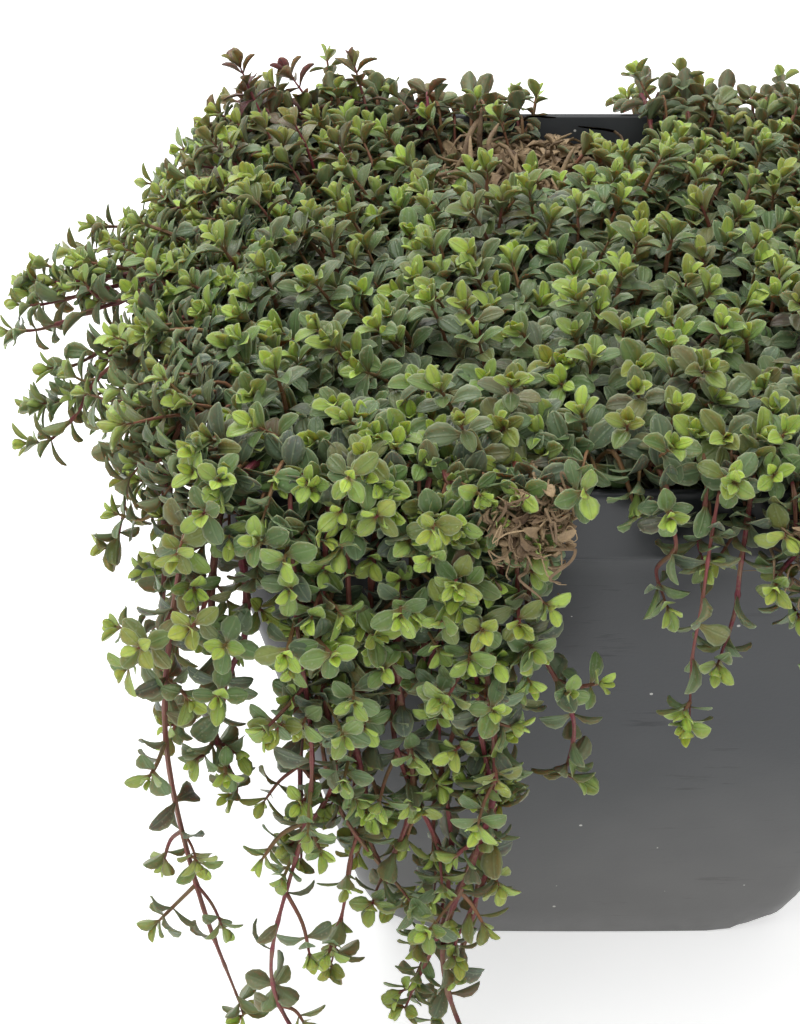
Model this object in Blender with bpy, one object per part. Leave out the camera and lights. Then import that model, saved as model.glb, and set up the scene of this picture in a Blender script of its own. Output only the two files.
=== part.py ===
"""Potted creeping thyme: a square nursery pot, its compost and the thyme that grows over its edge.

The origin is the middle of the pot's underside, the front is -Y, and +Z is up. Sizes are in metres.
Every shoot is one closed body: a square stem whose side faces are drawn out into leaves and side
shoots. A leaf that would touch anything else is tried smaller, and then left out.
"""

import math
import random

import bpy
from mathutils import Vector
from mathutils.bvhtree import BVHTree

# Pot
RIM_WIDTH = 0.105
POT_HEIGHT = 0.100
BASE_WIDTH = 0.067
WALL = 0.0014
FLOOR = 0.0016
BAND_HEIGHT = 0.010
BAND_STEP = 0.0012
RIM_CORNER = 0.008
BASE_CORNER = 0.006
FOOT_FLAT = 0.0446
FOOT_LIFT = 0.003
SOLE_INSET = 0.0015
DRAIN_DIAMETER = 0.0075
DRAIN_SPACING = 0.030
CORNER_STEPS = 5

# Fits
CLEARANCE = 0.0003
COMPOST_DROP = 0.009
ROOT_DEPTH = 0.006
ROOT_INSET = 0.0055

# Thyme
STEM = 0.0011
LEAF_LENGTH = 0.0058
LEAF_WIDTH = 0.0034
LEAF_THICKNESS = 0.0005
LEAF_SIZES = (1.0, 0.82, 0.64)
NODE_LENGTH = 0.0011
BUD_LENGTH = 0.0013
FIRST_LEAF = 0.007
TRAIL_INTERNODE = 0.0071
CLUMP_INTERNODE = 0.0043
DRY_INTERNODE = 0.0090
SIDE_SHOOT_LENGTH = 0.0115
SIDE_SHOOT_NODES = (0.42, 0.92)
CLUMP_ROWS = 5
CLUMP_SPACING = 0.0172
CLUMP_JITTER = 0.0022
CLUMP_HEIGHT = 0.0170
CLUMP_HEIGHT_STRAY = 0.0015
BACK_FALL = 0.0035
BACK_LEFT_RISE = 0.0025
CLUMP_LEAN = 0.28
CLUMP_LEAN_STRAY = 0.1
EMERGING = 0.001
ARCH = 0.0030
ARCH_SHARE = 0.10
SIDE_MARGIN = 0.002
WANDER = 0.0035
WANDER_DROP = 0.06
SWING_STRAY = 12.0
TRAIL_TIP_HEIGHT = 0.0028
LYING_STEP = 0.0075
TIP_TURN = 0.0025
MOST_TRIES = 12
FIRST_SIDE_SHOOTS = {"trailing_stem": 1, "dry_stem": 1, "clump": 0}
SEED = 11

FRONT, LEFT, RIGHT, BACK = -90.0, 180.0, 0.0, 90.0

# A trailing stem: the side it hangs over, its place along that side as a fraction of the half
# width, its swing from straight out in degrees, its reach past the rim, the height of its tip as a
# fraction of the pot's, and how many of its nodes carry side shoots. A tip at 0 lies on the table.
TRAILS = (
    (FRONT, -0.90, -30.0, 0.006, 0.12, 1),
    (FRONT, -0.75, -14.0, 0.009, 0.00, 2),
    (FRONT, -0.61, -8.0, 0.006, 0.26, 1),
    (FRONT, -0.47, 0.0, 0.009, 0.00, 2),
    (FRONT, -0.33, -3.0, 0.006, 0.12, 2),
    (FRONT, -0.21, -2.0, 0.008, 0.20, 1),
    (FRONT, 0.08, 2.0, 0.005, 0.84, 0),
    (FRONT, 0.29, -1.0, 0.008, 0.70, 1),
    (FRONT, 0.52, 5.0, 0.006, 0.80, 0),
    (FRONT, 0.80, 12.0, 0.008, 0.66, 1),
    (LEFT, -0.72, 10.0, 0.009, 0.45, 1),
    (LEFT, -0.48, 8.0, 0.013, 0.68, 1),
    (LEFT, -0.24, 6.0, 0.024, 0.86, 1),
    (LEFT, 0.00, 0.0, 0.030, 0.95, 1),
    (LEFT, 0.26, -4.0, 0.021, 0.97, 1),
    (LEFT, 0.50, -6.0, 0.016, 0.92, 0),
    (LEFT, 0.76, -14.0, 0.015, 0.88, 0),
    (RIGHT, -0.66, -8.0, 0.011, 0.70, 1),
    (RIGHT, -0.20, -3.0, 0.014, 0.86, 0),
    (RIGHT, 0.22, 4.0, 0.011, 0.76, 1),
    (RIGHT, 0.68, 8.0, 0.014, 0.88, 0),
    (BACK, -0.70, 10.0, 0.012, 0.84, 0),
    (BACK, -0.25, 4.0, 0.009, 0.90, 0),
    (BACK, 0.30, -4.0, 0.011, 0.80, 1),
    (BACK, 0.74, -10.0, 0.009, 0.88, 0),
)

# The bare brown stems left from last year, in the same terms.
DRY_STEMS = (
    (FRONT, -0.11, -4.0, 0.004, 0.86, 0),
    (FRONT, 0.40, 3.0, 0.004, 0.76, 0),
)

# Colours: base colour and roughness.
POT_LOOK = ((0.045, 0.048, 0.052), 0.45)
COMPOST_LOOK = ((0.060, 0.038, 0.024), 0.95)
CLUMP_LOOK = ((0.160, 0.250, 0.060), 0.60)
TRAIL_LOOK = ((0.130, 0.210, 0.060), 0.60)
DRY_LOOK = ((0.260, 0.160, 0.080), 0.85)

# Sizes that follow from those above.
BODY_TOP = POT_HEIGHT - BAND_HEIGHT
BODY_TOP_WIDTH = RIM_WIDTH - 2 * BAND_STEP
INSIDE_STEP = BODY_TOP - WALL
INSIDE_STEP_WIDTH = BODY_TOP_WIDTH - 2 * WALL
INSIDE_RIM_WIDTH = RIM_WIDTH - 2 * WALL
COMPOST_TOP = POT_HEIGHT - COMPOST_DROP
TAPER = (BODY_TOP_WIDTH - BASE_WIDTH) / 2 / BODY_TOP

rng = random.Random(SEED)


def material(name, look):
    """A plain Principled material of the given colour and roughness."""
    made = bpy.data.materials.new(name)
    made.use_nodes = True
    shader = made.node_tree.nodes["Principled BSDF"]
    shader.inputs["Base Color"].default_value = (*look[0], 1.0)
    shader.inputs["Roughness"].default_value = look[1]
    return made


def add_object(name, points, faces, finish):
    """A mesh object from points and faces, with its material."""
    mesh = bpy.data.meshes.new(name)
    mesh.from_pydata([tuple(point) for point in points], [], faces)
    mesh.materials.append(finish)
    made = bpy.data.objects.new(name, mesh)
    bpy.context.scene.collection.objects.link(made)
    return made


def square_ring(width, corner, height, lift=0.0):
    """Points round a square with rounded corners, anticlockwise from above.

    Each corner is an arc between two points that end the straight sides. The arcs are raised by
    lift, which is what cuts the pot's foot up at its corners, and stay in the sloping walls.
    """
    half = width / 2
    flat = min(FOOT_FLAT / 2 * width / BASE_WIDTH, half - 1.05 * corner)
    centre = half + lift * TAPER - corner
    points = []
    for quarter in range(4):
        turn = math.radians(90 * quarter)
        local = [(half, flat, height)]
        for step in range(CORNER_STEPS + 1):
            angle = math.radians(90 * step / CORNER_STEPS)
            x = centre + corner * math.cos(angle)
            y = centre + corner * math.sin(angle)
            local.append((x, y, height + lift))
        local.append((flat, half, height))
        for x, y, z in local:
            along = x * math.cos(turn) - y * math.sin(turn)
            across = x * math.sin(turn) + y * math.cos(turn)
            points.append(Vector((along, across, z)))
    return points


def lofted(rings):
    """Points and faces of the closed body whose skin runs through the rings in order."""
    count = len(rings[0])
    points = [point for ring in rings for point in ring]
    faces = [tuple(reversed(range(count)))]
    for level in range(len(rings) - 1):
        low = level * count
        for i in range(count):
            j = (i + 1) % count
            faces.append((low + i, low + j, low + count + j, low + count + i))
    last = (len(rings) - 1) * count
    faces.append(tuple(range(last, last + count)))
    return points, faces


def cut(body, cutters):
    """Subtracts the cutter from the body and keeps it out of the render."""
    modifier = body.modifiers.new("cut", "BOOLEAN")
    modifier.operation = "DIFFERENCE"
    modifier.solver = "EXACT"
    modifier.object = cutters
    cutters.hide_render = True
    cutters.display_type = "WIRE"


def inside_width(height):
    """The pot's inside width at a height above the inside step."""
    share = (height - INSIDE_STEP) / (POT_HEIGHT - INSIDE_STEP)
    return INSIDE_STEP_WIDTH + share * (INSIDE_RIM_WIDTH - INSIDE_STEP_WIDTH)


def sole_corner(width):
    """The corner radius at which a sole's arcs start where the foot's flat ends."""
    return (width - FOOT_FLAT * width / BASE_WIDTH) / 2


def build_pot(finish):
    """The moulded shell, with its rim band, raised base corners and drain holes."""
    sole = BASE_WIDTH - 2 * SOLE_INSET
    inner_base = BASE_WIDTH - 2 * WALL
    inner_sole = inner_base - 2 * SOLE_INSET
    rings = [
        square_ring(sole, sole_corner(sole), 0.0),
        square_ring(BASE_WIDTH, BASE_CORNER, 0.0, FOOT_LIFT),
        square_ring(BODY_TOP_WIDTH, RIM_CORNER - BAND_STEP, BODY_TOP),
        square_ring(RIM_WIDTH, RIM_CORNER, BODY_TOP),
        square_ring(RIM_WIDTH, RIM_CORNER, POT_HEIGHT),
        square_ring(INSIDE_RIM_WIDTH, RIM_CORNER - WALL, POT_HEIGHT),
        square_ring(INSIDE_STEP_WIDTH, RIM_CORNER - BAND_STEP - WALL, INSIDE_STEP),
        square_ring(inner_base, BASE_CORNER - WALL, FLOOR, FOOT_LIFT),
        square_ring(inner_sole, sole_corner(inner_sole), FLOOR),
    ]
    pot = add_object("pot", *lofted(rings), finish)
    points, faces = [], []
    sides = 16
    for x, y in [(-0.5, -0.5), (0.5, -0.5), (-0.5, 0.5), (0.5, 0.5)]:
        low = len(points)
        for height in (-FLOOR, 2 * FLOOR):
            for i in range(sides):
                angle = 2 * math.pi * i / sides
                east = x * DRAIN_SPACING + DRAIN_DIAMETER / 2 * math.cos(angle)
                north = y * DRAIN_SPACING + DRAIN_DIAMETER / 2 * math.sin(angle)
                points.append(Vector((east, north, height)))
        faces.append(tuple(low + i for i in reversed(range(sides))))
        faces.append(tuple(low + sides + i for i in range(sides)))
        for i in range(sides):
            j = (i + 1) % sides
            faces.append((low + i, low + j, low + sides + j, low + sides + i))
    cut(pot, add_object("drain_cutters", points, faces, finish))
    return pot


def build_compost(plans, finish):
    """The compost, a clearance inside the pot, with a pit for the root of every shoot."""
    base = BASE_WIDTH - 2 * WALL - 2 * CLEARANCE
    sole = base - 2 * SOLE_INSET
    step = INSIDE_STEP_WIDTH - 2.2 * CLEARANCE
    top = inside_width(COMPOST_TOP) - 2.2 * CLEARANCE
    low = FLOOR + CLEARANCE
    rings = [
        square_ring(sole, sole_corner(sole), low),
        square_ring(base, BASE_CORNER - WALL, low, FOOT_LIFT),
        square_ring(step, RIM_CORNER - BAND_STEP - WALL, INSIDE_STEP),
        square_ring(top, RIM_CORNER - WALL, COMPOST_TOP),
    ]
    compost = add_object("compost", *lofted(rings), finish)
    points, faces = [], []
    for plan in plans:
        pit = [
            ring_points(plan.foot + Vector((0, 0, depth)), plan.axes, STEM / 2 + CLEARANCE)
            for depth in (-CLEARANCE, ROOT_DEPTH + COMPOST_DROP)
        ]
        new_points, new_faces = lofted(pit)
        faces += [tuple(len(points) + i for i in face) for face in new_faces]
        points += new_points
    cut(compost, add_object("pit_cutters", points, faces, finish))
    return compost


def ring_points(centre, axes, half):
    """The four corners of a square section, anticlockwise as seen from the stem's tip."""
    x, y = axes[0] * half, axes[1] * half
    return [centre + x + y, centre - x + y, centre - x - y, centre + x - y]


def turned(axes, old, new):
    """The section's axes carried from one stem direction to the next without twisting."""
    spin = old.rotation_difference(new)
    return spin @ axes[0], spin @ axes[1]


def smooth_path(points, steps=10):
    """A curve through the points, as many short straight pieces."""
    ends = [2 * points[0] - points[1], *points, 2 * points[-1] - points[-2]]
    curve = []
    for a, b, c, d in zip(ends, ends[1:], ends[2:], ends[3:]):
        for step in range(steps):
            t = step / steps
            bend = (2 * a - 5 * b + 4 * c - d) * t * t + (3 * b - a - 3 * c + d) * t * t * t
            curve.append(b + ((c - a) * t + bend) / 2)
    return curve + [points[-1]]


class Path:
    """A curve that gives its point and its direction at any length along it."""

    def __init__(self, points):
        self.points = points
        self.lengths = [0.0]
        for a, b in zip(points, points[1:]):
            self.lengths.append(self.lengths[-1] + (b - a).length)

    def at(self, length):
        """The point and the direction at this length."""
        piece = 0
        while piece < len(self.points) - 2 and self.lengths[piece + 1] < length:
            piece += 1
        a, b = self.points[piece], self.points[piece + 1]
        share = (length - self.lengths[piece]) / (b - a).length
        return a + (b - a) * share, (b - a).normalized()


class Space:
    """What is already in place: finished bodies, and the stems of those still to be grown."""

    def __init__(self):
        self.bodies = []
        self.stems = {}

    def add(self, points, faces):
        """Takes a finished body into account."""
        self.bodies.append(BVHTree.FromPolygons(points, faces))

    def reserve(self, name, points, faces):
        """Keeps room for this shoot's stem, if the room is free, and says whether it was."""
        tree = BVHTree.FromPolygons(points, faces)
        if any(tree.overlap(other) for other in [*self.bodies, *self.stems.values()]):
            return False
        self.stems[name] = tree
        return True

    def clear(self, name, points, faces, own):
        """Whether this small shape, grown by the clearance, meets nothing and stays off the table.

        name is the shoot that the shape belongs to, and own the rest of that shoot.
        """
        middle = sum(points, Vector()) / len(points)
        grown = [p + (p - middle).normalized() * 1.2 * CLEARANCE for p in points]
        if min(p.z for p in grown) < CLEARANCE:
            return False
        shape = BVHTree.FromPolygons(grown, faces)
        others = [tree for owner, tree in self.stems.items() if owner != name]
        return not any(tree.overlap(shape) for tree in [*self.bodies, *others, *own])


LEAF_TIP_FACES = [(0, 1, 4), (1, 2, 4), (2, 3, 4), (3, 0, 4), (3, 2, 1, 0)]
LEAF_ALL_FACES = [(5 + i, 5 + (i + 1) % 4, (i + 1) % 4, i) for i in range(4)] + LEAF_TIP_FACES[:4]


class Plan:
    """Where one shoot is to grow: its root, its path and the nodes along it."""

    def __init__(self, name, foot, path, internode, side_shoots, finish):
        self.name = name
        self.foot = foot
        self.axes = root_axes()
        self.path = path
        self.nodes = leaf_nodes(path, ROOT_DEPTH + FIRST_LEAF, internode)
        self.side_shoots = side_shoots
        self.finish = finish

    def collar(self):
        """The point just above the compost up to which the stem stands straight."""
        return self.foot + Vector((0.0, 0.0, ROOT_DEPTH + CLEARANCE))

    def stem(self):
        """Points and faces of a rough stem, a clearance thicker than the real one."""
        along = Vector((0.0, 0.0, 1.0))
        axes = self.axes
        rings = [ring_points(point, axes, STEM / 2 + CLEARANCE) for point in (self.foot, self.collar())]
        for length in self.nodes:
            point, heading = self.path.at(length)
            axes = turned(axes, along, heading)
            along = heading
            rings.append(ring_points(point, axes, STEM / 2 + CLEARANCE))
        rings.append(ring_points(point + along * BUD_LENGTH, axes, STEM / 2))
        return lofted(rings)


class Shoot:
    """One plant body as it grows."""

    def __init__(self, space, plan):
        self.space = space
        self.plan = plan
        self.points = []
        self.faces = []

    def add_ring(self, centre, axes, half):
        """Adds a square section and gives its four point numbers."""
        self.points += ring_points(centre, axes, half)
        return list(range(len(self.points) - 4, len(self.points)))

    def try_leaf(self, quad, outward, along):
        """Draws a side face out into a leaf, if one fits, and says whether it did."""
        corners = [self.points[i] for i in quad]
        root = sum(corners, Vector()) / 4
        lean = Vector((rng.uniform(-0.2, 0.2), rng.uniform(-0.2, 0.2), rng.uniform(0.0, 0.25)))
        reach = (outward * 0.85 + along * 0.4 + lean).normalized()
        width = corners[1] - corners[0]
        width = (width - reach * width.dot(reach)).normalized()
        upper = reach.cross(width)
        own = [BVHTree.FromPolygons(self.points, self.faces)] if self.faces else []
        for size in LEAF_SIZES:
            middle = root + reach * LEAF_LENGTH * size * 0.52
            side = width * LEAF_WIDTH * size / 2
            thick = upper * LEAF_THICKNESS / 2
            ring = [middle - side - thick, middle + side - thick, middle + side + thick]
            ring.append(middle - side + thick)
            tip = root + reach * LEAF_LENGTH * size
            blade = [*ring, tip]
            whole = [*blade, *corners]
            name = self.plan.name
            fits_self = self.space.clear(name, blade, LEAF_TIP_FACES, own)
            if fits_self and self.space.clear(name, whole, LEAF_ALL_FACES, []):
                first = len(self.points)
                self.points += blade
                rim = [first + i for i in range(4)]
                for i in range(4):
                    j = (i + 1) % 4
                    self.faces.append((quad[i], quad[j], rim[j], rim[i]))
                    self.faces.append((rim[i], rim[j], first + 4))
                return True
        return False

    def grow(self, ring, axes, path, start, nodes, side_shoots=()):
        """Carries the section along the path, with a pair of leaves or side shoots at each node.

        ring is the section to start from, and nodes the lengths along the path at which leaves
        stand. Pairs stand crosswise, as they do on thyme. side_shoots numbers the nodes whose
        pair is two side shoots.
        """
        point, along = path.at(start)
        axes = turned(axes, axes[0].cross(axes[1]), along)
        for number, node in enumerate(nodes):
            for length in (node - NODE_LENGTH / 2, node + NODE_LENGTH / 2):
                point, heading = path.at(length)
                axes = turned(axes, along, heading)
                along = heading
                after = self.add_ring(point, axes, STEM / 2)
                quads = [(ring[i], ring[(i + 1) % 4], after[(i + 1) % 4], after[i]) for i in range(4)]
                if length < node:
                    self.faces += quads
                    ring = after
                    continue
                outward = [axes[1], -axes[0], -axes[1], axes[0]]
                for side, quad in enumerate(quads):
                    if side % 2 != number % 2:
                        self.faces.append(quad)
                    elif number in side_shoots:
                        self.side_shoot(quad, outward[side], along)
                    elif not self.try_leaf(quad, outward[side], along):
                        self.faces.append(quad)
                ring = after
        tip = len(self.points)
        self.points.append(point + along * BUD_LENGTH)
        self.faces += [(ring[i], ring[(i + 1) % 4], tip) for i in range(4)]

    def side_shoot(self, quad, outward, along):
        """Draws a side face out into a short leafy shoot that turns upwards."""
        corners = [self.points[i] for i in quad]
        root = sum(corners, Vector()) / 4
        axes = ((corners[0] - corners[1]).normalized(), (corners[0] - corners[3]).normalized())
        reach = (outward * 0.8 + along * 0.45).normalized()
        rise = Vector((0.0, 0.0, SIDE_SHOOT_LENGTH * 0.4))
        points = [root, root + reach * SIDE_SHOOT_LENGTH * 0.5]
        points.append(root + reach * SIDE_SHOOT_LENGTH * 0.85 + rise * 0.8)
        path = Path(smooth_path(points))
        nodes = [SIDE_SHOOT_LENGTH * share for share in SIDE_SHOOT_NODES]
        if self.stem_clear(path, nodes[0] - NODE_LENGTH):
            self.grow(list(quad), axes, path, 0.0, nodes)
        else:
            self.faces.append(quad)

    def stem_clear(self, path, start):
        """Whether a stem along the path keeps clear of the other bodies and of this one."""
        own = [BVHTree.FromPolygons(self.points, self.faces)]
        length = start
        while length < path.lengths[-1] + BUD_LENGTH:
            point, along = path.at(length)
            across = along.orthogonal().normalized()
            axes = (across, along.cross(across))
            points = ring_points(point, axes, STEM * 0.7)
            points += ring_points(point + along * 1.5 * STEM, axes, STEM * 0.7)
            faces = [(i, (i + 1) % 4, 4 + (i + 1) % 4, 4 + i) for i in range(4)]
            faces += [(3, 2, 1, 0), (4, 5, 6, 7)]
            if not self.space.clear(self.plan.name, points, faces, own):
                return False
            length += 1.5 * STEM
        return True

    def build(self):
        """Grows the whole body from its root and adds it to the scene."""
        plan = self.plan
        ring = self.add_ring(plan.foot, plan.axes, STEM / 2)
        self.faces.append(tuple(reversed(ring)))
        collar = self.add_ring(plan.collar(), plan.axes, STEM / 2)
        for i in range(4):
            j = (i + 1) % 4
            self.faces.append((ring[i], ring[j], collar[j], collar[i]))
        self.grow(collar, plan.axes, plan.path, 0.0, plan.nodes, plan.side_shoots)
        self.space.add(self.points, self.faces)
        return add_object(plan.name, self.points, self.faces, plan.finish)


def root_axes():
    """The axes of a square stem turned by a chance angle."""
    angle = rng.uniform(0.0, math.pi / 2)
    x = Vector((math.cos(angle), math.sin(angle), 0.0))
    return x, Vector((0.0, 0.0, 1.0)).cross(x)


def leaf_nodes(path, first, spacing):
    """Lengths along the path at which leaves stand, up to its end."""
    count = max(1, int((path.lengths[-1] - first) / spacing))
    last = path.lengths[-1] - NODE_LENGTH
    return [first + (last - first) * i / count for i in range(count + 1)]


def trail_path(row, stray):
    """The root and the path of a trailing stem: up from the compost, over the rim and down.

    stray is how far chance may bend it aside, as a share of the most it may.
    """
    side, share, swing, reach, tip_share, _ = row
    swing += rng.uniform(-SWING_STRAY, SWING_STRAY) * stray
    reach *= 1 + rng.uniform(-0.3, 0.4) * stray
    half = inside_width(COMPOST_TOP) / 2
    normal = Vector((math.cos(math.radians(side)), math.sin(math.radians(side)), 0.0))
    beside = Vector((abs(normal.y), abs(normal.x), 0.0))
    inset = ROOT_INSET + 0.35 * abs(share) ** 6 * RIM_CORNER
    along_limit = half - ROOT_INSET - SIDE_MARGIN
    place = beside * max(-along_limit, min(along_limit, share * half)) + normal * (half - inset)
    angle = math.radians(side + swing)
    heading = Vector((math.cos(angle), math.sin(angle), 0.0))
    to_rim = (RIM_WIDTH / 2 - (half - inset)) / math.cos(math.radians(swing))
    arch = ARCH + ARCH_SHARE * reach
    up = Vector((0.0, 0.0, 1.0))
    foot = place + up * (COMPOST_TOP - ROOT_DEPTH)
    low = max(tip_share * POT_HEIGHT, 3 * TRAIL_TIP_HEIGHT)
    drop = POT_HEIGHT - low
    wander = beside * WANDER * min(1.0, drop / WANDER_DROP)
    first, second, third = (wander * rng.uniform(-1.0, 1.0) for _ in range(3))
    points = [
        foot,
        place + up * (COMPOST_TOP + EMERGING),
        place + heading * to_rim * 0.4 + up * (POT_HEIGHT + 0.8 * arch),
        place + heading * (to_rim + 0.25 * reach) + up * (POT_HEIGHT + arch),
        place + heading * (to_rim + 0.85 * reach) + up * (POT_HEIGHT - 0.12 * drop),
        place + heading * (to_rim + reach) + first + up * (POT_HEIGHT - 0.4 * drop),
        place + heading * (to_rim + 0.8 * reach) + second + up * (POT_HEIGHT - 0.7 * drop),
        place + heading * (to_rim + reach) + third + up * low,
    ]
    if tip_share == 0.0:
        points.append(points[-1] + heading * LYING_STEP + up * (TRAIL_TIP_HEIGHT - low))
        points.append(points[-1] + heading * LYING_STEP + third)
    else:
        points.append(points[-1] + heading * TIP_TURN - up * TIP_TURN * 0.6)
    return foot, Path(smooth_path(points))


def clump_path(column, row, stray):
    """The root and the path of a clump's main stem, which leans outwards towards the pot's edge."""
    middle = (CLUMP_ROWS - 1) / 2
    x = (column - middle) * CLUMP_SPACING + rng.uniform(-CLUMP_JITTER, CLUMP_JITTER) * (1 + stray)
    y = (row - middle) * CLUMP_SPACING + rng.uniform(-CLUMP_JITTER, CLUMP_JITTER) * (1 + stray)
    place = Vector((x, y, 0.0))
    lean = place / (middle * CLUMP_SPACING) * CLUMP_LEAN
    chance = Vector((rng.uniform(-1.0, 1.0), rng.uniform(-1.0, 1.0), 0.0))
    lean += chance * CLUMP_LEAN_STRAY * (1 + stray)
    back = row / (CLUMP_ROWS - 1)
    back_left = (row - column) / (CLUMP_ROWS - 1)
    height = CLUMP_HEIGHT - BACK_FALL * back + BACK_LEFT_RISE * back_left
    height += rng.uniform(-CLUMP_HEIGHT_STRAY, CLUMP_HEIGHT_STRAY)
    up = Vector((0.0, 0.0, 1.0))
    foot = place + up * (COMPOST_TOP - ROOT_DEPTH)
    points = [
        foot,
        place + up * (COMPOST_TOP + EMERGING),
        place + lean * height * 0.35 + up * (COMPOST_TOP + height * 0.5),
        place + lean * height + up * (COMPOST_TOP + height),
    ]
    return foot, Path(smooth_path(points))


def place_shoots(space, kind, rows, path_of, internode, finish):
    """Plans for the shoots of one kind, each given the first path tried that is free."""
    plans = []
    for number, row in enumerate(rows, 1):
        side_shoots = [FIRST_SIDE_SHOOTS[kind] + 3 * i for i in range(row[-1])]
        for attempt in range(MOST_TRIES):
            foot, path = path_of(row, attempt / MOST_TRIES)
            name = f"{kind}_{number:02d}"
            plan = Plan(name, foot, path, internode, side_shoots, finish)
            if space.reserve(name, *plan.stem()):
                plans.append(plan)
                break
    return plans


def build():
    """The whole potted plant."""
    for found in list(bpy.data.objects):
        bpy.data.objects.remove(found)
    space = Space()
    pot = build_pot(material("pot", POT_LOOK))
    space.add([v.co for v in pot.data.vertices], [tuple(f.vertices) for f in pot.data.polygons])
    trail_look = material("trailing_thyme", TRAIL_LOOK)
    clump_look = material("clump_thyme", CLUMP_LOOK)
    dry_look = material("dry_thyme", DRY_LOOK)
    cells = range(CLUMP_ROWS)
    grid = [(column, row, 1) for row in cells for column in cells]
    plans = place_shoots(space, "trailing_stem", TRAILS, trail_path, TRAIL_INTERNODE, trail_look)
    plans += place_shoots(space, "dry_stem", DRY_STEMS, trail_path, DRY_INTERNODE, dry_look)
    clumps = place_shoots(
        space,
        "clump",
        grid,
        lambda cell, stray: clump_path(cell[0], cell[1], stray),
        CLUMP_INTERNODE,
        clump_look,
    )
    plans += clumps
    top = square_ring(inside_width(COMPOST_TOP), RIM_CORNER - WALL, COMPOST_TOP)
    space.add(top, [tuple(range(len(top)))])
    for plan in plans:
        Shoot(space, plan).build()
    build_compost(plans, material("compost", COMPOST_LOOK))


build()
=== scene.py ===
"""Creeping thyme in a square nursery pot, dressed for the table.

Every surface is worked out as whole numpy arrays: a stem is a section carried along a curve, a leaf
is a function of its length and width, and the pot is a profile carried round a rounded square.
Lengths are in metres. The front is -Y and +Z is up.
"""

import logging
import math
from dataclasses import dataclass, field, fields
from enum import Enum
from typing import Sequence

import bpy
import numpy as np
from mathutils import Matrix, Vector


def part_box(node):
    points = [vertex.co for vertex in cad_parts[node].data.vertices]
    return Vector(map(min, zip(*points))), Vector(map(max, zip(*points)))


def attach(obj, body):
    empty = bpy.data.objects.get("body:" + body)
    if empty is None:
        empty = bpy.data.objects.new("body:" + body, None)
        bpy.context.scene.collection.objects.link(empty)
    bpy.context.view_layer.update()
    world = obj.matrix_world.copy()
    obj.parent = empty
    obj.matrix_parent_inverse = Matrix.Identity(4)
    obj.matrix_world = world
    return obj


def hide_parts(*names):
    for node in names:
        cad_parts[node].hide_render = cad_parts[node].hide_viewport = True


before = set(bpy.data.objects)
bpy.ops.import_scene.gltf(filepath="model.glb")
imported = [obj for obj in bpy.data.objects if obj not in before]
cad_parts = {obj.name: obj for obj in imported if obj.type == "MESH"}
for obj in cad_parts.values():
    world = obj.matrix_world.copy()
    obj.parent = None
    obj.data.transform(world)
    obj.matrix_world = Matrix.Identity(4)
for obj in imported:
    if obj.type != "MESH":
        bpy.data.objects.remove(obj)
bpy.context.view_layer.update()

Array = np.ndarray
Material = bpy.types.Material
Object = bpy.types.Object
Socket = bpy.types.NodeSocket
MM = 0.001
UP = np.array([0.0, 0.0, 1.0])
HALF_TURN = math.pi
QUARTER_TURN = math.pi / 2.0
SEED = 20
log = logging.getLogger("thyme")


class Side(Enum):
    """The side of the pot that a stem hangs over, as the heading straight out of it in degrees."""

    FRONT = -90.0
    LEFT = 180.0
    RIGHT = 0.0
    BACK = 90.0


# ---------------------------------------------------------------------------------- array tools


def unit(vectors: Array) -> Array:
    """The vectors, each divided by its length."""
    return vectors / np.maximum(np.linalg.norm(vectors, axis=-1, keepdims=True), 1e-12)


def across(vectors: Array, axis: Array) -> Array:
    """Unit vectors: what is left of the vectors once their part along the unit axis is removed."""
    return unit(vectors - axis * np.sum(vectors * axis, axis=-1, keepdims=True))


def turned(side: Array, back: Array, angle: Array) -> Array:
    """Directions across a stem: its first side turned by the angle towards its second."""
    return side * np.cos(angle)[:, None] + back * np.sin(angle)[:, None]


def ease(values: Array, low: float, high: float) -> Array:
    """A smooth step: 0 below low, 1 above high, and 3t^2 - 2t^3 between."""
    t = np.clip((values - low) / (high - low), 0.0, 1.0)
    return t * t * (3.0 - 2.0 * t)


def waves(x: Array, y: Array, seed: int, size: float) -> Array:
    """Soft hills between about -1 and 1: the sum of six plane waves with chance directions.

    Args:
        x: First coordinate of each point.
        y: Second coordinate of each point.
        seed: Picks the waves.
        size: The longest wave's length.

    Returns:
        The height of the hills at each point.
    """
    rng = np.random.default_rng(seed)
    total = np.zeros(np.broadcast(x, y).shape)
    for order in range(6):
        angle, phase = rng.uniform(0.0, 2.0 * math.pi, 2)
        pace = 2.0 * math.pi / size * (1.0 + 0.55 * order)
        level = x * math.cos(angle) + y * math.sin(angle)
        total += np.sin(pace * level + phase) / (1.0 + 0.4 * order)
    return total / 2.6


def smooth_curves(knots: Array, samples: int) -> Array:
    """Curves through the knots, by the Catmull-Rom cubic between each pair of knots.

    Args:
        knots: The points to pass through, as (curves, knots, 3).
        samples: How many points to give on each curve.

    Returns:
        The points, as (curves, samples, 3).
    """
    first = 2.0 * knots[:, :1] - knots[:, 1:2]
    last = 2.0 * knots[:, -1:] - knots[:, -2:-1]
    ends = np.concatenate([first, knots, last], axis=1)
    place = np.linspace(0.0, knots.shape[1] - 1.0, samples)
    piece = np.minimum(place.astype(int), knots.shape[1] - 2)
    t = (place - piece)[None, :, None]
    a, b, c, d = (ends[:, piece + step] for step in range(4))
    curve = 2.0 * b + (c - a) * t + (2.0 * a - 5.0 * b + 4.0 * c - d) * t**2
    return 0.5 * (curve + (3.0 * b - a - 3.0 * c + d) * t**3)


def lifeless(rng: np.random.Generator, count: int) -> tuple[Array, Array, Array]:
    """Age, tint and blush of dead matter: old, of any tint, and never red."""
    return np.ones(count), rng.random(count), np.zeros(count)


# ------------------------------------------------------------------------------------- surfaces


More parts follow.
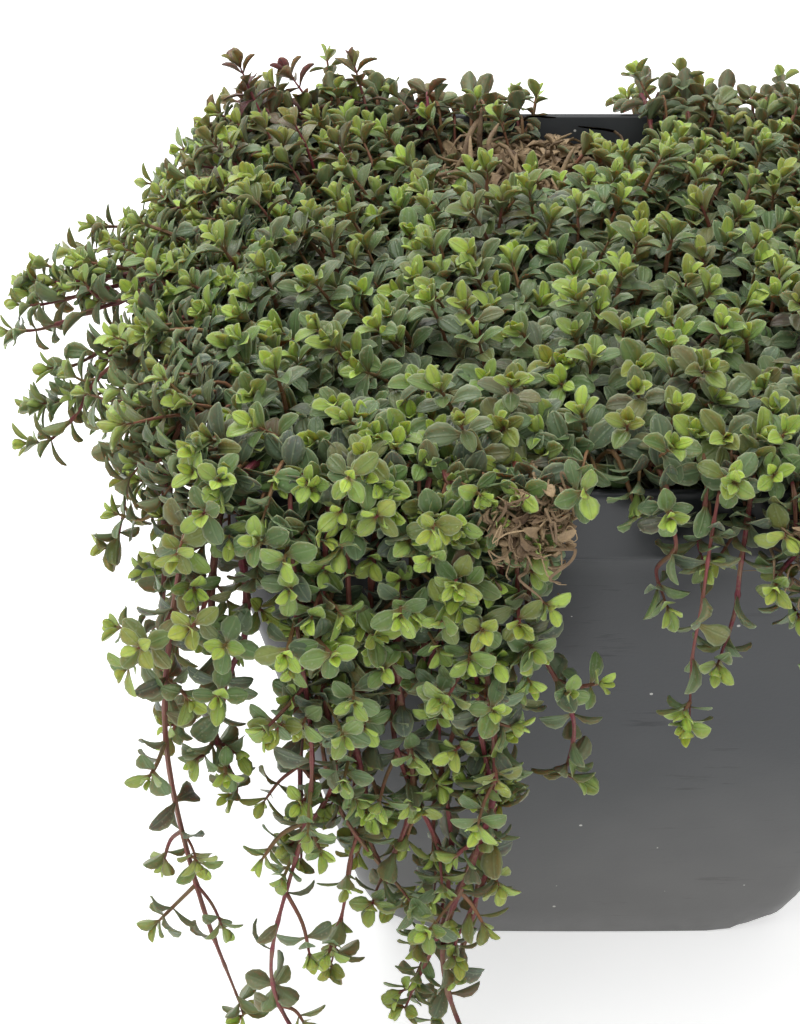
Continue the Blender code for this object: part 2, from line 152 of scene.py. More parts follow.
@dataclass
class Skin:
    """A surface: its points, its faces, and what its material reads at each point.

    place is the UV map: along and across a leaf or stem. growth holds age, tint, blush and
    underside, each from 0 to 1.
    """

    points: Array
    quads: Array
    triangles: Array
    place: Array
    growth: Array

    @staticmethod
    def tubes(rings: Array, ends: Array, place: Array | None = None, growth: Array | None = None) -> "Skin":
        """Tubes, each made of rings in rows and closed onto a point at either end.

        Args:
            rings: The rings' points, as (tubes, rows, points, 3).
            ends: The first and last point of each tube, as (tubes, 2, 3).
            place: The UV map, as (tubes, points, 2), or none to lay it flat.
            growth: The growth values, as (tubes, points, 4), or none for zeros.

        Returns:
            One skin, with the points of each tube's rings before its two ends.
        """
        count, rows, ring = rings.shape[:3]
        points = np.concatenate([rings.reshape(count, -1, 3), ends], axis=1)
        place = points[..., :2] * 10.0 if place is None else place
        growth = np.zeros((*points.shape[:2], 4)) if growth is None else growth
        step = np.arange(ring)
        after = (step + 1) % ring
        row = np.arange(rows - 1)[:, None] * ring
        quads = np.stack([row + step, row + after, row + ring + after, row + ring + step], -1)
        last = (rows - 1) * ring
        foot = np.stack([after, step, np.full(ring, rows * ring)], -1)
        tip = np.stack([last + step, last + after, np.full(ring, rows * ring + 1)], -1)
        start = (np.arange(count) * (rows * ring + 2))[:, None, None]
        return Skin(
            points.reshape(-1, 3),
            (quads.reshape(-1, 4) + start).reshape(-1, 4),
            (np.concatenate([foot, tip]) + start).reshape(-1, 3),
            place.reshape(-1, 2),
            growth.reshape(-1, 4),
        )

    @staticmethod
    def loft(points: Array) -> "Skin":
        """One tube from rings of points, closed onto the middles of its first and last ring."""
        ends = np.stack([points[0].mean(axis=0), points[-1].mean(axis=0)])
        return Skin.tubes(points[None], ends[None])

    @staticmethod
    def joined(skins: Sequence["Skin"]) -> "Skin":
        """All the skins as one, each one's point numbers moved past those before it."""
        starts = np.cumsum([0] + [len(skin.points) for skin in skins])

        def gathered(name: str, shift: int = 0) -> Array:
            """One field of every skin, moved on by its first point's number if shift is 1."""
            parts = [getattr(skin, name) for skin in skins]
            return np.concatenate([part + shift * start for part, start in zip(parts, starts)])

        faces = gathered("quads", 1), gathered("triangles", 1)
        return Skin(gathered("points"), *faces, gathered("place"), gathered("growth"))

    def build(self, name: str, material: Material) -> Object:
        """Makes the mesh object.

        Args:
            name: The piece's name.
            material: Its finish.

        Returns:
            The object, at the origin, with its UV map and its growth attribute.
        """
        mesh = bpy.data.meshes.new(name)
        corners = np.concatenate([self.quads.ravel(), self.triangles.ravel()]).astype(np.int32)
        sizes = np.repeat([4, 3], [len(self.quads), len(self.triangles)])
        starts = np.concatenate([[0], np.cumsum(sizes)[:-1]]).astype(np.int32)
        mesh.vertices.add(len(self.points))
        mesh.vertices.foreach_set("co", self.points.astype(np.float32).ravel())
        mesh.loops.add(len(corners))
        mesh.loops.foreach_set("vertex_index", corners)
        mesh.polygons.add(len(sizes))
        mesh.polygons.foreach_set("loop_start", starts)
        mesh.polygons.foreach_set("use_smooth", np.ones(len(sizes), dtype=bool))
        mesh.update(calc_edges=True)
        layer = mesh.uv_layers.new(name="place")
        layer.data.foreach_set("uv", self.place[corners].astype(np.float32).ravel())
        growth = mesh.attributes.new("growth", "FLOAT_COLOR", "POINT")
        growth.data.foreach_set("color", self.growth.astype(np.float32).ravel())
        mesh.validate()
        mesh.materials.append(material)
        made = bpy.data.objects.new(name, mesh)
        bpy.context.scene.collection.objects.link(made)
        return made


@dataclass
class Batch:
    """Arrays of one length, each a property of many things of one kind."""

    def kept(self, mask: Array) -> "Batch":
        """Only the things that the mask picks."""
        return type(self)(*(getattr(self, given.name)[mask] for given in fields(self) if given.init))

    @classmethod
    def joined(cls, groups: Sequence["Batch"]) -> "Batch":
        """All the groups as one."""
        names = [given.name for given in fields(cls) if given.init]
        return cls(*(np.concatenate([getattr(group, name) for group in groups]) for name in names))


# ---------------------------------------------------------------------------------------- stems


@dataclass
class Stems(Batch):
    """Many stems of one kind, each a curve with a square frame along it.

    aside is a direction for each stem that its curve never follows; the frame's first side is
    what is left of it across the curve, and the second is the cross product of the two.
    """

    points: Array
    aside: Array
    radius: Array
    age: Array
    tint: Array
    blush: Array
    along: Array = field(init=False)
    side: Array = field(init=False)
    back: Array = field(init=False)
    lengths: Array = field(init=False)

    def __post_init__(self) -> None:
        """Works out the direction, the frame and the length so far at every point."""
        self.along = unit(np.gradient(self.points, axis=1))
        self.side = across(np.broadcast_to(self.aside[:, None], self.points.shape), self.along)
        self.back = np.cross(self.along, self.side)
        steps = np.linalg.norm(np.diff(self.points, axis=1), axis=2)
        self.lengths = np.pad(np.cumsum(steps, axis=1), ((0, 0), (1, 0)))

    def at(self, which: Array, length: Array) -> tuple[Array, Array, Array, Array]:
        """Point, direction and the frame's two sides at a length along each chosen stem."""
        rows = self.lengths[which]
        piece = np.clip((rows < length[:, None]).sum(axis=1) - 1, 0, rows.shape[1] - 2)
        index = np.arange(len(which))
        low, high = rows[index, piece], rows[index, piece + 1]
        share = np.clip((length - low) / np.maximum(high - low, 1e-9), 0.0, 1.0)[:, None]
        spot, along, side, back = (
            values[which, piece] * (1.0 - share) + values[which, piece + 1] * share
            for values in (self.points, self.along, self.side, self.back)
        )
        return spot, unit(along), unit(side), unit(back)

    def skin(self, ring: int, knuckles: Array | None = None) -> Skin:
        """The stems as tubes with a rounded square section, pointed at the tip.

        The section's radius is r(1 + 0.10 cos 4a) at angle a, swollen at the nodes. It shrinks
        along the stem, and most over its last fifth.

        Args:
            ring: Points round the section.
            knuckles: Lengths at which each stem has a node, as (stems, nodes), or none.

        Returns:
            One skin for all the stems.
        """
        count, rows = self.points.shape[:2]
        corner = np.arange(ring) * 2.0 * math.pi / ring
        angle = corner + math.pi / 4.0
        share = self.lengths / self.lengths[:, -1:]
        radius = self.radius[:, None] * (1.08 - 0.25 * share - 0.40 * ease(share, 0.8, 1.0))
        if knuckles is not None:
            gap = np.abs(self.lengths[:, :, None] - knuckles[:, None, :]).min(axis=2)
            radius = radius * (1.0 + 0.42 * np.exp(-((gap / (0.55 * MM)) ** 2)))
        reach = radius[:, :, None] * (1.0 + 0.10 * np.cos(4.0 * corner))
        out = self.side[:, :, None] * np.cos(angle)[:, None] + self.back[:, :, None] * np.sin(angle)[:, None]
        tip = self.points[:, -1] + self.along[:, -1] * self.radius[:, None]
        place = np.zeros((count, rows * ring + 2, 2))
        place[:, :-2, 0] = np.repeat(self.lengths, ring, axis=1)
        place[:, :-2, 1] = np.tile(np.arange(ring) / ring, rows)
        place[:, -1, 0] = self.lengths[:, -1]
        growth = np.zeros((count, rows * ring + 2, 4))
        growth[:, :-2, 0] = np.repeat(1.0 - share, ring, axis=1) * self.age[:, None]
        growth[:, -2, 0] = self.age
        growth[..., 1] = self.tint[:, None]
        growth[..., 2] = self.blush[:, None]
        rings = self.points[:, :, None] + out * reach[..., None]
        return Skin.tubes(rings, np.stack([self.points[:, 0], tip], axis=1), place, growth)


# --------------------------------------------------------------------------------------- leaves


@dataclass
class Leaves(Batch):
    """Many leaves: where each stands, how it is turned, its size, its bend and its colour."""

    foot: Array
    reach: Array
    face: Array
    length: Array
    width: Array
    curl: Array
    cup: Array
    age: Array
    tint: Array
    blush: Array

    @staticmethod
    def withered(rng: np.random.Generator, foot: Array, reach: Array, face: Array, *spans: tuple) -> "Leaves":
        """Dead leaves.

        Args:
            rng: The source of chance.
            foot: Where each stands.
            reach: Where each points.
            face: Roughly where its upper face looks.
            *spans: The least and most length and width in millimetres, bend, and rise of the edges.

        Returns:
            The leaves.
        """
        count = len(foot)
        face = across(face, reach)
        length, width, curl, cup = (rng.uniform(*span, count) for span in spans)
        return Leaves(foot, reach, face, length * MM, width * MM, curl, cup, *lifeless(rng, count))

    def outside(self, pot: "Pot") -> "Leaves":
        """Only the leaves whose middle and tip are both clear of the pot, compost and table.

        The middle is two thirds of the way along. The tip falls as far as the leaf's bend takes it.
        """
        along = self.reach * self.length[:, None]
        fall = self.face * (self.length * self.curl * 0.45)[:, None]
        return self.kept(pot.clear(self.foot + along * 0.66) & pot.clear(self.foot + along * 0.95 - fall))


@dataclass(frozen=True)
class LeafShape:
    """The blade that every leaf is cut from.

    Half the width at share u of the length follows s^0.85 (1 - s)^0.76, which is widest at 53% and
    bluntly pointed, with s counted from the end of a short stalk. Each cross-section is a loop:
    four spans over the upper face and two back under the lower one, thickest at the midrib.
    """

    rows: tuple[float, ...] = (0.0, 0.18, 0.38, 0.60, 0.82, 0.95)
    spans: tuple[float, ...] = (-1.0, -0.5, 0.0, 0.5, 1.0, 0.0)
    faces: tuple[float, ...] = (0.0, 1.0, 1.0, 1.0, 0.0, -1.0)
    stalk: float = 0.09
    stalk_width: float = 0.17
    thickness: float = 0.22 * MM

    def skin(self, leaves: Leaves) -> Skin:
        """All the leaves as one skin.

        The midrib is a circular arc that starts along reach and bends away from face by curl
        radians over its length: forward (L / c) sin(c u), down (L / c)(1 - cos(c u)). The edges
        rise by cup times the half width times |v|^1.4, along the arc's own normal.

        Args:
            leaves: Where and how big the leaves are.

        Returns:
            The skin, with the length share and the width share in its UV map.
        """
        count, rows, ring = len(leaves.foot), len(self.rows), len(self.spans)
        u, v, side = np.array([*self.rows, 1.0]), np.array(self.spans), np.array(self.faces)
        s = np.clip((u - self.stalk) / (1.0 - self.stalk), 0.0, 1.0)
        outline = np.maximum(3.05 * s**0.85 * (1.0 - s) ** 0.76, self.stalk_width * (u < 0.5))
        bend = np.where(np.abs(leaves.curl) < 1e-3, 1e-3, leaves.curl)[:, None]
        size = leaves.length[:, None] / bend
        sine, cosine = np.sin(bend * u)[..., None], np.cos(bend * u)[..., None]
        reach, face = leaves.reach[:, None], leaves.face[:, None]
        spine = leaves.foot[:, None] + size[..., None] * (reach * sine - face * (1.0 - cosine))
        normal = face * cosine + reach * sine
        wide = np.cross(leaves.face, leaves.reach)[:, None, None]
        half = (0.5 * leaves.width[:, None] * outline)[..., None]
        thick = self.thickness * (0.35 + 0.65 * np.minimum(1.0, 3.0 * outline)) * 0.5
        lift = leaves.cup[:, None, None] * half * np.abs(v) ** 1.4
        lift = lift + thick[:, None] * side * (1.0 - 0.55 * np.abs(v))
        rings = spine[:, :, None] + wide * (half * v)[..., None] + normal[:, :, None] * lift[..., None]
        ends = np.stack([spine[:, 0] - leaves.reach * 0.1 * MM, spine[:, -1]], axis=1)
        place = np.zeros((count, rows * ring + 2, 2))
        place[:, :-2, 0] = np.repeat(u[:-1], ring)
        place[:, :-2, 1] = np.tile(0.5 + 0.5 * v, rows)
        place[:, -2] = (0.0, 0.5)
        place[:, -1] = (1.0, 0.5)
        growth = np.zeros((count, rows * ring + 2, 4))
        growth[..., :3] = np.stack([leaves.age, leaves.tint, leaves.blush], axis=-1)[:, None]
        growth[:, :-2, 3] = np.tile(0.5 - 0.5 * side, rows)
        return Skin.tubes(rings[:, :-1], ends, place, growth)


@dataclass(frozen=True)
class LeafHabit:
    """How leaves follow one another down a shoot, pair by pair from its tip.

    ages gives each pair's age. The other tables give a leaf's look at the ages in steps: its
    length as a share of the full length, its lean from the stem in degrees, its bend in radians
    and how far its edges rise. light is how far a grown leaf turns its face to the light, and
    youngest is the least age of any leaf.
    """

    gaps: tuple[float, ...] = (0.30, 0.55, 0.90, 1.7, 2.5, 2.8, 2.9, 3.0)
    ages: tuple[float, ...] = (0.0, 0.17, 0.33, 0.48, 0.62, 0.75, 0.87, 0.96)
    steps: tuple[float, ...] = (0.0, 0.17, 0.33, 0.48, 0.65, 1.0)
    sizes: tuple[float, ...] = (0.60, 0.82, 0.96, 1.0, 1.0, 1.0)
    leans: tuple[float, ...] = (13.0, 27.0, 41.0, 55.0, 74.0, 92.0)
    curls: tuple[float, ...] = (0.15, 0.45, 0.65, 0.80, 1.00, 1.20)
    cups: tuple[float, ...] = (0.60, 0.55, 0.50, 0.44, 0.36, 0.28)
    length: float = 4.25 * MM
    width_share: float = 0.56
    light: float = 0.16
    missing: float = 0.04
    youngest: float = 0.0

    def dress(self, stems: Stems, rng: np.random.Generator, bare: Array, sun: Array, pairs: int = 8) -> Leaves:
        """Leaves in crosswise pairs on every stem.

        Args:
            stems: The stems to dress.
            rng: The source of chance.
            bare: How much of each stem's foot stays without leaves.
            sun: The direction that the light comes from.
            pairs: The most pairs on a stem.

        Returns:
            The leaves. Their upper faces look towards the stem's tip, turned part of the way to
            the light.
        """
        count = len(stems.points)
        below = (np.cumsum(self.gaps) - 0.15)[:pairs] * MM
        length = stems.lengths[:, -1:] - below * rng.uniform(0.82, 1.25, (count, 1))
        which, pair = np.nonzero(length > bare[:, None])
        turn = rng.uniform(0.0, HALF_TURN, count)[which] + pair * QUARTER_TURN
        turn = turn + rng.normal(0.0, 0.16, len(which))
        age = np.maximum(np.array(self.ages)[pair], self.youngest)
        leaves = self.pairs(stems, rng, which, length[which, pair], age, turn, 0.10, sun)
        return leaves.kept(rng.random(len(leaves.foot)) > self.missing)

    def pairs(
        self,
        stems: Stems,
        rng: np.random.Generator,
        which: Array,
        length: Array,
        age: Array,
        turn: Array,
        scatter: float,
        sun: Array,
    ) -> Leaves:
        """A pair of leaves at each place, opened from the stem by its age, with chance in every size.

        Args:
            stems: The stems that carry them.
            rng: The source of chance.
            which: The stem of each pair.
            length: How far along its stem each pair is.
            age: The age of each pair.
            turn: The direction of each pair round its stem.
            scatter: How much chance there is in that direction.
            sun: The direction that the light comes from.

        Returns:
            The leaves, first one of every pair and then the other.
        """
        count = len(which)
        spot, along, side, back = stems.at(which, length)
        pair_age = age
        groups = []
        for half in (0.0, HALF_TURN):
            out = turned(side, back, turn + half + rng.normal(0.0, scatter, count))
            age = np.clip(pair_age + rng.normal(0.0, 0.05, count), 0.0, 1.0)
            lean = np.radians(np.interp(age, self.steps, self.leans)) + rng.normal(0.0, 0.13, count)
            lean = lean[:, None]
            reach = unit(along * np.cos(lean) + out * np.sin(lean))
            face = along * np.sin(lean) - out * np.cos(lean)
            lit = self.light * rng.uniform(0.6, 1.3, count) * ease(age, 0.1, 0.5)
            lit = np.clip(lit, 0.0, 1.0)[:, None]
            reach = unit(reach + sun * lit * 0.30 + rng.normal(0.0, 0.08, (count, 3)))
            face = face * (1.0 - lit) + sun * lit * 1.2 + rng.normal(0.0, 0.12, (count, 3))
            size = self.length * np.interp(age, self.steps, self.sizes) * rng.uniform(0.80, 1.16, count)
            width = size * self.width_share * rng.uniform(0.86, 1.14, count) * (1.10 - 0.12 * age)
            curl = np.interp(age, self.steps, self.curls) + rng.normal(0.0, 0.22, count)
            cup = np.interp(age, self.steps, self.cups) + rng.normal(0.0, 0.10, count)
            tint = np.clip(stems.tint[which] + rng.normal(0.0, 0.14, count), 0.0, 1.0)
            blush = np.clip(stems.blush[which] * rng.uniform(0.5, 1.2, count), 0.0, 1.0)
            foot = spot + out * (stems.radius[which] * 0.5)[:, None]
            groups.append(
                Leaves(foot, reach, across(face, reach), size, width, curl, cup, age, tint, blush)
            )
        return Leaves.joined(groups)


# ------------------------------------------------------------------------------------ materials


def rgba(red: float, green: float, blue: float) -> tuple[float, float, float, float]:
    """An opaque colour."""
    return red, green, blue, 1.0


class Graph:
    """Adds nodes to a node tree and links them in one call each."""

    def __init__(self, tree: bpy.types.NodeTree) -> None:
        """Takes the tree to write in."""
        self.tree = tree

    def add(self, kind: str, inputs: dict | None = None, **settings: object) -> bpy.types.Node:
        """A new node.

        Args:
            kind: The node's type without the ShaderNode prefix.
            inputs: Value or output socket for each input, by name or number.
            **settings: The node's own properties.

        Returns:
            The node.
        """
        node = self.tree.nodes.new("ShaderNode" + kind)
        for key, value in settings.items():
            setattr(node, key, value)
        for key, value in (inputs or {}).items():
            if isinstance(value, Socket):
                self.tree.links.new(value, node.inputs[key])
            else:
                node.inputs[key].default_value = value
        return node

    def maths(self, operation: str, a: object, b: object = 0.0, clamp: bool = False) -> Socket:
        """The result of one sum on two numbers or sockets."""
        return self.add("Math", {0: a, 1: b}, operation=operation, use_clamp=clamp).outputs[0]

    def times(self, a: object, b: object) -> Socket:
        """The product of two numbers or sockets."""
        return self.maths("MULTIPLY", a, b)

    def plus(self, a: object, b: object, clamp: bool = False) -> Socket:
        """The sum of two numbers or sockets."""
        return self.maths("ADD", a, b, clamp)

    def step(
        self, value: object, low: float, high: float, to_low: float = 0.0, to_high: float = 1.0
    ) -> Socket:
        """A smooth step of the value from low to high, given out from to_low to to_high."""
        inputs = {"Value": value, 1: low, 2: high, 3: to_low, 4: to_high}
        return self.add("MapRange", inputs, interpolation_type="SMOOTHSTEP").outputs[0]

    def mix(self, share: object, a: object, b: object, blend: str = "MIX") -> Socket:
        """Two colours mixed by a share."""
        return self.add("Mix", {0: share, 6: a, 7: b}, data_type="RGBA", blend_type=blend).outputs[2]

    def shaded(self, colour: object, patches: Socket, dark: tuple, light: tuple) -> Socket:
        """The colour, darker and lighter in patches."""
        return self.mix(1.0, colour, self.mix(patches, dark, light), "MULTIPLY")

    def spot(self) -> Socket:
        """The object's own coordinates."""
        return self.add("TexCoord").outputs["Object"]

    def noise(self, scale: float, detail: float, vector: Socket | None = None) -> Socket:
        """Soft noise on the object's own coordinates, or on the vector given."""
        vector = self.spot() if vector is None else vector
        inputs = {"Vector": vector, "Scale": scale, "Detail": detail, "Roughness": 0.6}
        return self.add("TexNoise", inputs).outputs["Fac"]

    def growth(self) -> tuple[Socket, Socket, Socket, Socket]:
        """The growth attribute's age, tint, blush and underside."""
        growth = self.add("Attribute", attribute_name="growth").outputs
        age, tint, blush = self.add("SeparateColor", {0: growth["Color"]}).outputs[:3]
        return age, tint, blush, growth["Alpha"]

    def place(self) -> tuple[Socket, Socket]:
        """The place map's two values: along and across."""
        spot = self.add("SeparateXYZ", {0: self.add("UVMap", uv_map="place").outputs[0]})
        return spot.outputs[0], spot.outputs[1]

    def group(self, tree: bpy.types.NodeTree, **values: float) -> Socket:
        """Puts a shared group in with its own values, and gives its output."""
        node = self.tree.nodes.new("ShaderNodeGroup")
        node.node_tree = tree
        for label, value in values.items():
            node.inputs[label].default_value = value
        return node.outputs[0]


class Groups:
    """The effects that several finishes share, each a node group built once."""

    _made: dict[str, bpy.types.NodeTree] = {}

    @classmethod
    def _get(cls, name: str, write: object, **inputs: float) -> bpy.types.NodeTree:
        """The named group, built at its first use.

        Args:
            name: The group's name.
            write: Adds its nodes, from the graph and the group's inputs, and gives its result.
            **inputs: The name and default of each number that goes in.

        Returns:
            The group's tree.
        """
        if name not in cls._made:
            tree = bpy.data.node_groups.new(name, "ShaderNodeTree")
            for label, value in inputs.items():
                socket = tree.interface.new_socket(label, in_out="INPUT", socket_type="NodeSocketFloat")
                socket.default_value = value
            tree.interface.new_socket("Value", in_out="OUTPUT", socket_type="NodeSocketFloat")
            result = write(Graph(tree), tree.nodes.new("NodeGroupInput").outputs)
            tree.links.new(result, tree.nodes.new("NodeGroupOutput").inputs["Value"])
            cls._made[name] = tree
        return cls._made[name]

    @staticmethod
    def _mottle(graph: Graph, given: Sequence[Socket]) -> Socket:
        """Two sizes of noise, centred on 0.5 and widened by Strength."""
        spot = graph.spot()
        coarse = graph.add("TexNoise", {"Vector": spot, "Scale": given["Scale"], "Detail": 2.0})
        fine_scale = graph.times(given["Scale"], 5.3)
        fine = graph.add("TexNoise", {"Vector": spot, "Scale": fine_scale, "Detail": 3.0})
        both = graph.plus(graph.times(coarse.outputs["Fac"], 0.6), graph.times(fine.outputs["Fac"], 0.4))
        centred = graph.times(graph.maths("SUBTRACT", both, 0.5), given["Strength"])
        return graph.plus(centred, 0.5, clamp=True)

    @staticmethod
    def _specks(graph: Graph, given: Sequence[Socket]) -> Socket:
        """1 in the middle of one cell in a few, 0 between."""
        inputs = {"Vector": graph.spot(), "Scale": given["Scale"], "Randomness": 1.0}
        cells = graph.add("TexVoronoi", inputs).outputs
        near = graph.maths("LESS_THAN", cells["Distance"], given["Size"])
        pick = graph.add("SeparateColor", {0: cells["Color"]}).outputs[0]
        return graph.times(near, graph.maths("LESS_THAN", pick, given["Share"]))

    @classmethod
    def mottle(cls) -> bpy.types.NodeTree:
        """Uneven patches."""
        return cls._get("mottle", cls._mottle, Scale=200.0, Strength=1.0)

    @classmethod
    def specks(cls) -> bpy.types.NodeTree:
        """Scattered small dots."""
        return cls._get("specks", cls._specks, Scale=800.0, Size=0.25, Share=0.2)


@dataclass(frozen=True)
class Finish:
    """A material with one Principled shader, whose colour, roughness and bump come from its graph."""

    name: str = "finish"

    def new(self, **sockets: object) -> tuple[Material, Graph]:
        """A new material and its graph.

        Args:
            **sockets: The shader's constant inputs, with spaces in their names as underscores.
        """
        material = bpy.data.materials.new(self.name)
        material.use_nodes = True
        shader = material.node_tree.nodes["Principled BSDF"]
        for label, value in sockets.items():
            shader.inputs[label.replace("_", " ")].default_value = value
        return material, Graph(material.node_tree)

    def joined(
        self, material: Material, colour: Socket, rough: Socket, height: Socket, depth: float, strength: float
    ) -> Material:
        """Sends the colour, the roughness, and the height as a bump of that depth, to the shader."""
        graph = Graph(material.node_tree)
        bump = graph.add("Bump", {"Height": height, "Distance": depth, "Strength": strength}).outputs[0]
        shader = graph.tree.nodes["Principled BSDF"]
        for label, value in (("Base Color", colour), ("Roughness", rough), ("Normal", bump)):
            graph.tree.links.new(value, shader.inputs[label])
        return material


@dataclass(frozen=True)
class LeafFinish(Finish):
    """A thyme leaf: bright when young and grey-green when old, with a pale edge and midrib."""

    name: str = "thyme_leaf"
    young: tuple[float, ...] = rgba(0.430, 0.600, 0.090)
    grown: tuple[float, ...] = rgba(0.115, 0.212, 0.052)
    old: tuple[float, ...] = rgba(0.050, 0.084, 0.050)
    edge: tuple[float, ...] = rgba(0.440, 0.520, 0.270)
    under: tuple[float, ...] = rgba(0.230, 0.290, 0.160)
    blush: tuple[float, ...] = rgba(0.125, 0.034, 0.042)
    heart: tuple[float, ...] = rgba(0.200, 0.120, 0.035)
    hair: tuple[float, ...] = rgba(0.340, 0.380, 0.270)
    warm: tuple[float, ...] = rgba(0.300, 0.260, 0.040)
    cool: tuple[float, ...] = rgba(0.070, 0.115, 0.072)

    def make(self) -> Material:
        """Builds the material from the growth attribute and the place map."""
        material, graph = self.new(
            Subsurface_Weight=0.10, Subsurface_Scale=0.0012, Sheen_Weight=0.06, Sheen_Roughness=0.45
        )
        age, tint, blush, underside = graph.growth()
        u, across_leaf = graph.place()
        v = graph.maths("ABSOLUTE", graph.maths("SUBTRACT", graph.times(across_leaf, 2.0), 1.0))
        patches = graph.group(Groups.mottle(), Scale=260.0, Strength=2.2)
        colour = graph.mix(graph.step(age, 0.02, 0.34), self.young, self.grown)
        colour = graph.mix(graph.step(age, 0.26, 0.70), colour, self.old)
        warm, cool = graph.step(tint, 0.62, 1.0, 0.0, 0.75), graph.step(tint, 0.0, 0.38, 0.7, 0.0)
        colour = graph.mix(warm, colour, graph.mix(0.5, colour, self.warm))
        colour = graph.mix(cool, colour, graph.mix(0.5, colour, self.cool))
        colour = graph.shaded(colour, patches, rgba(0.68, 0.70, 0.66), rgba(1.30, 1.28, 1.25))
        rib = graph.step(v, 0.02, 0.14, 0.26, 0.0)
        colour = graph.mix(rib, colour, graph.mix(0.6, colour, self.edge))
        heart = graph.times(graph.step(u, 0.05, 0.34, 1.0, 0.0), graph.step(age, 0.1, 0.7, 0.85, 0.25))
        colour = graph.mix(heart, colour, self.heart)
        hairs = graph.group(Groups.specks(), Scale=1900.0, Size=0.30, Share=0.45)
        colour = graph.mix(graph.times(hairs, 0.22), colour, self.hair)
        rim = graph.maths("MAXIMUM", graph.step(v, 0.78, 1.0), graph.step(u, 0.93, 1.0))
        colour = graph.mix(graph.times(rim, graph.step(age, 0.0, 1.0, 0.85, 0.52)), colour, self.edge)
        flush = graph.times(blush, graph.step(patches, 0.2, 0.7, 0.55, 1.0))
        colour = graph.mix(flush, colour, self.blush)
        below = graph.times(underside, graph.step(blush, 0.2, 0.9, 0.75, 0.2))
        colour = graph.mix(below, colour, graph.mix(graph.step(age, 0.0, 0.8, 0.7, 0.0), self.under, colour))
        glands = graph.group(Groups.specks(), Scale=2600.0, Size=0.33, Share=0.55)
        slant = graph.maths("SUBTRACT", u, graph.times(v, 0.30))
        veins = graph.times(graph.maths("SINE", graph.times(slant, 44.0)), graph.step(v, 0.06, 0.4))
        height = graph.plus(graph.times(veins, 0.08), graph.step(v, 0.0, 0.18, -1.0, 0.0))
        height = graph.maths("SUBTRACT", height, graph.times(glands, 0.45))
        rough = graph.step(patches, 0.2, 0.8, 0.38, 0.60)
        return self.joined(material, colour, rough, height, 0.00007, 0.8)


@dataclass(frozen=True)
class StemFinish(Finish):
    """A thyme stem: green-tan at its tip, red where the light reaches it, woody at its foot."""

    name: str = "thyme_stem"
    tip: tuple[float, ...] = rgba(0.300, 0.270, 0.080)
    tan: tuple[float, ...] = rgba(0.300, 0.150, 0.060)
    red: tuple[float, ...] = rgba(0.150, 0.012, 0.036)
    bright: tuple[float, ...] = rgba(0.215, 0.036, 0.058)
    wood: tuple[float, ...] = rgba(0.070, 0.032, 0.022)

    def make(self) -> Material:
        """Builds the material: age runs from the tip to the foot, and blush is how red it is."""
        material, graph = self.new(Subsurface_Weight=0.05, Subsurface_Scale=0.0008)
        age, tint, blush, _ = graph.growth()
        along, around = graph.place()
        patches = graph.group(Groups.mottle(), Scale=420.0, Strength=2.4)
        tan = graph.mix(tint, self.tip, self.tan)
        flushed = graph.mix(graph.step(tint, 0.2, 0.9), self.red, self.bright)
        colour = graph.mix(graph.times(blush, graph.step(patches, 0.15, 0.75, 0.6, 1.0)), tan, flushed)
        colour = graph.mix(graph.step(age, 0.78, 1.0), colour, self.wood)
        colour = graph.shaded(colour, patches, rgba(0.72, 0.70, 0.70), rgba(1.28, 1.26, 1.24))
        grooves = graph.maths("SINE", graph.times(around, 50.3))
        streaks = graph.maths("SINE", graph.times(along, 9000.0))
        height = graph.plus(grooves, graph.times(graph.times(streaks, patches), 0.4))
        return self.joined(material, colour, graph.step(patches, 0.2, 0.8, 0.46, 0.68), height, 0.00004, 0.7)


@dataclass(frozen=True)
class DryFinish(Finish):
    """Dead thyme: papery brown leaves and twigs."""

    name: str = "dry_thyme"
    dark: tuple[float, ...] = rgba(0.085, 0.045, 0.026)
    light: tuple[float, ...] = rgba(0.480, 0.350, 0.200)

    def make(self) -> Material:
        """Builds the material, each twig and leaf with its own brown."""
        material, graph = self.new()
        _, tint, _, _ = graph.growth()
        patches = graph.group(Groups.mottle(), Scale=500.0, Strength=2.6)
        share = graph.plus(graph.times(tint, 0.65), graph.times(patches, 0.4), clamp=True)
        rough = graph.step(patches, 0.2, 0.8, 0.70, 0.95)
        return self.joined(material, graph.mix(share, self.dark, self.light), rough, patches, 0.00025, 0.9)


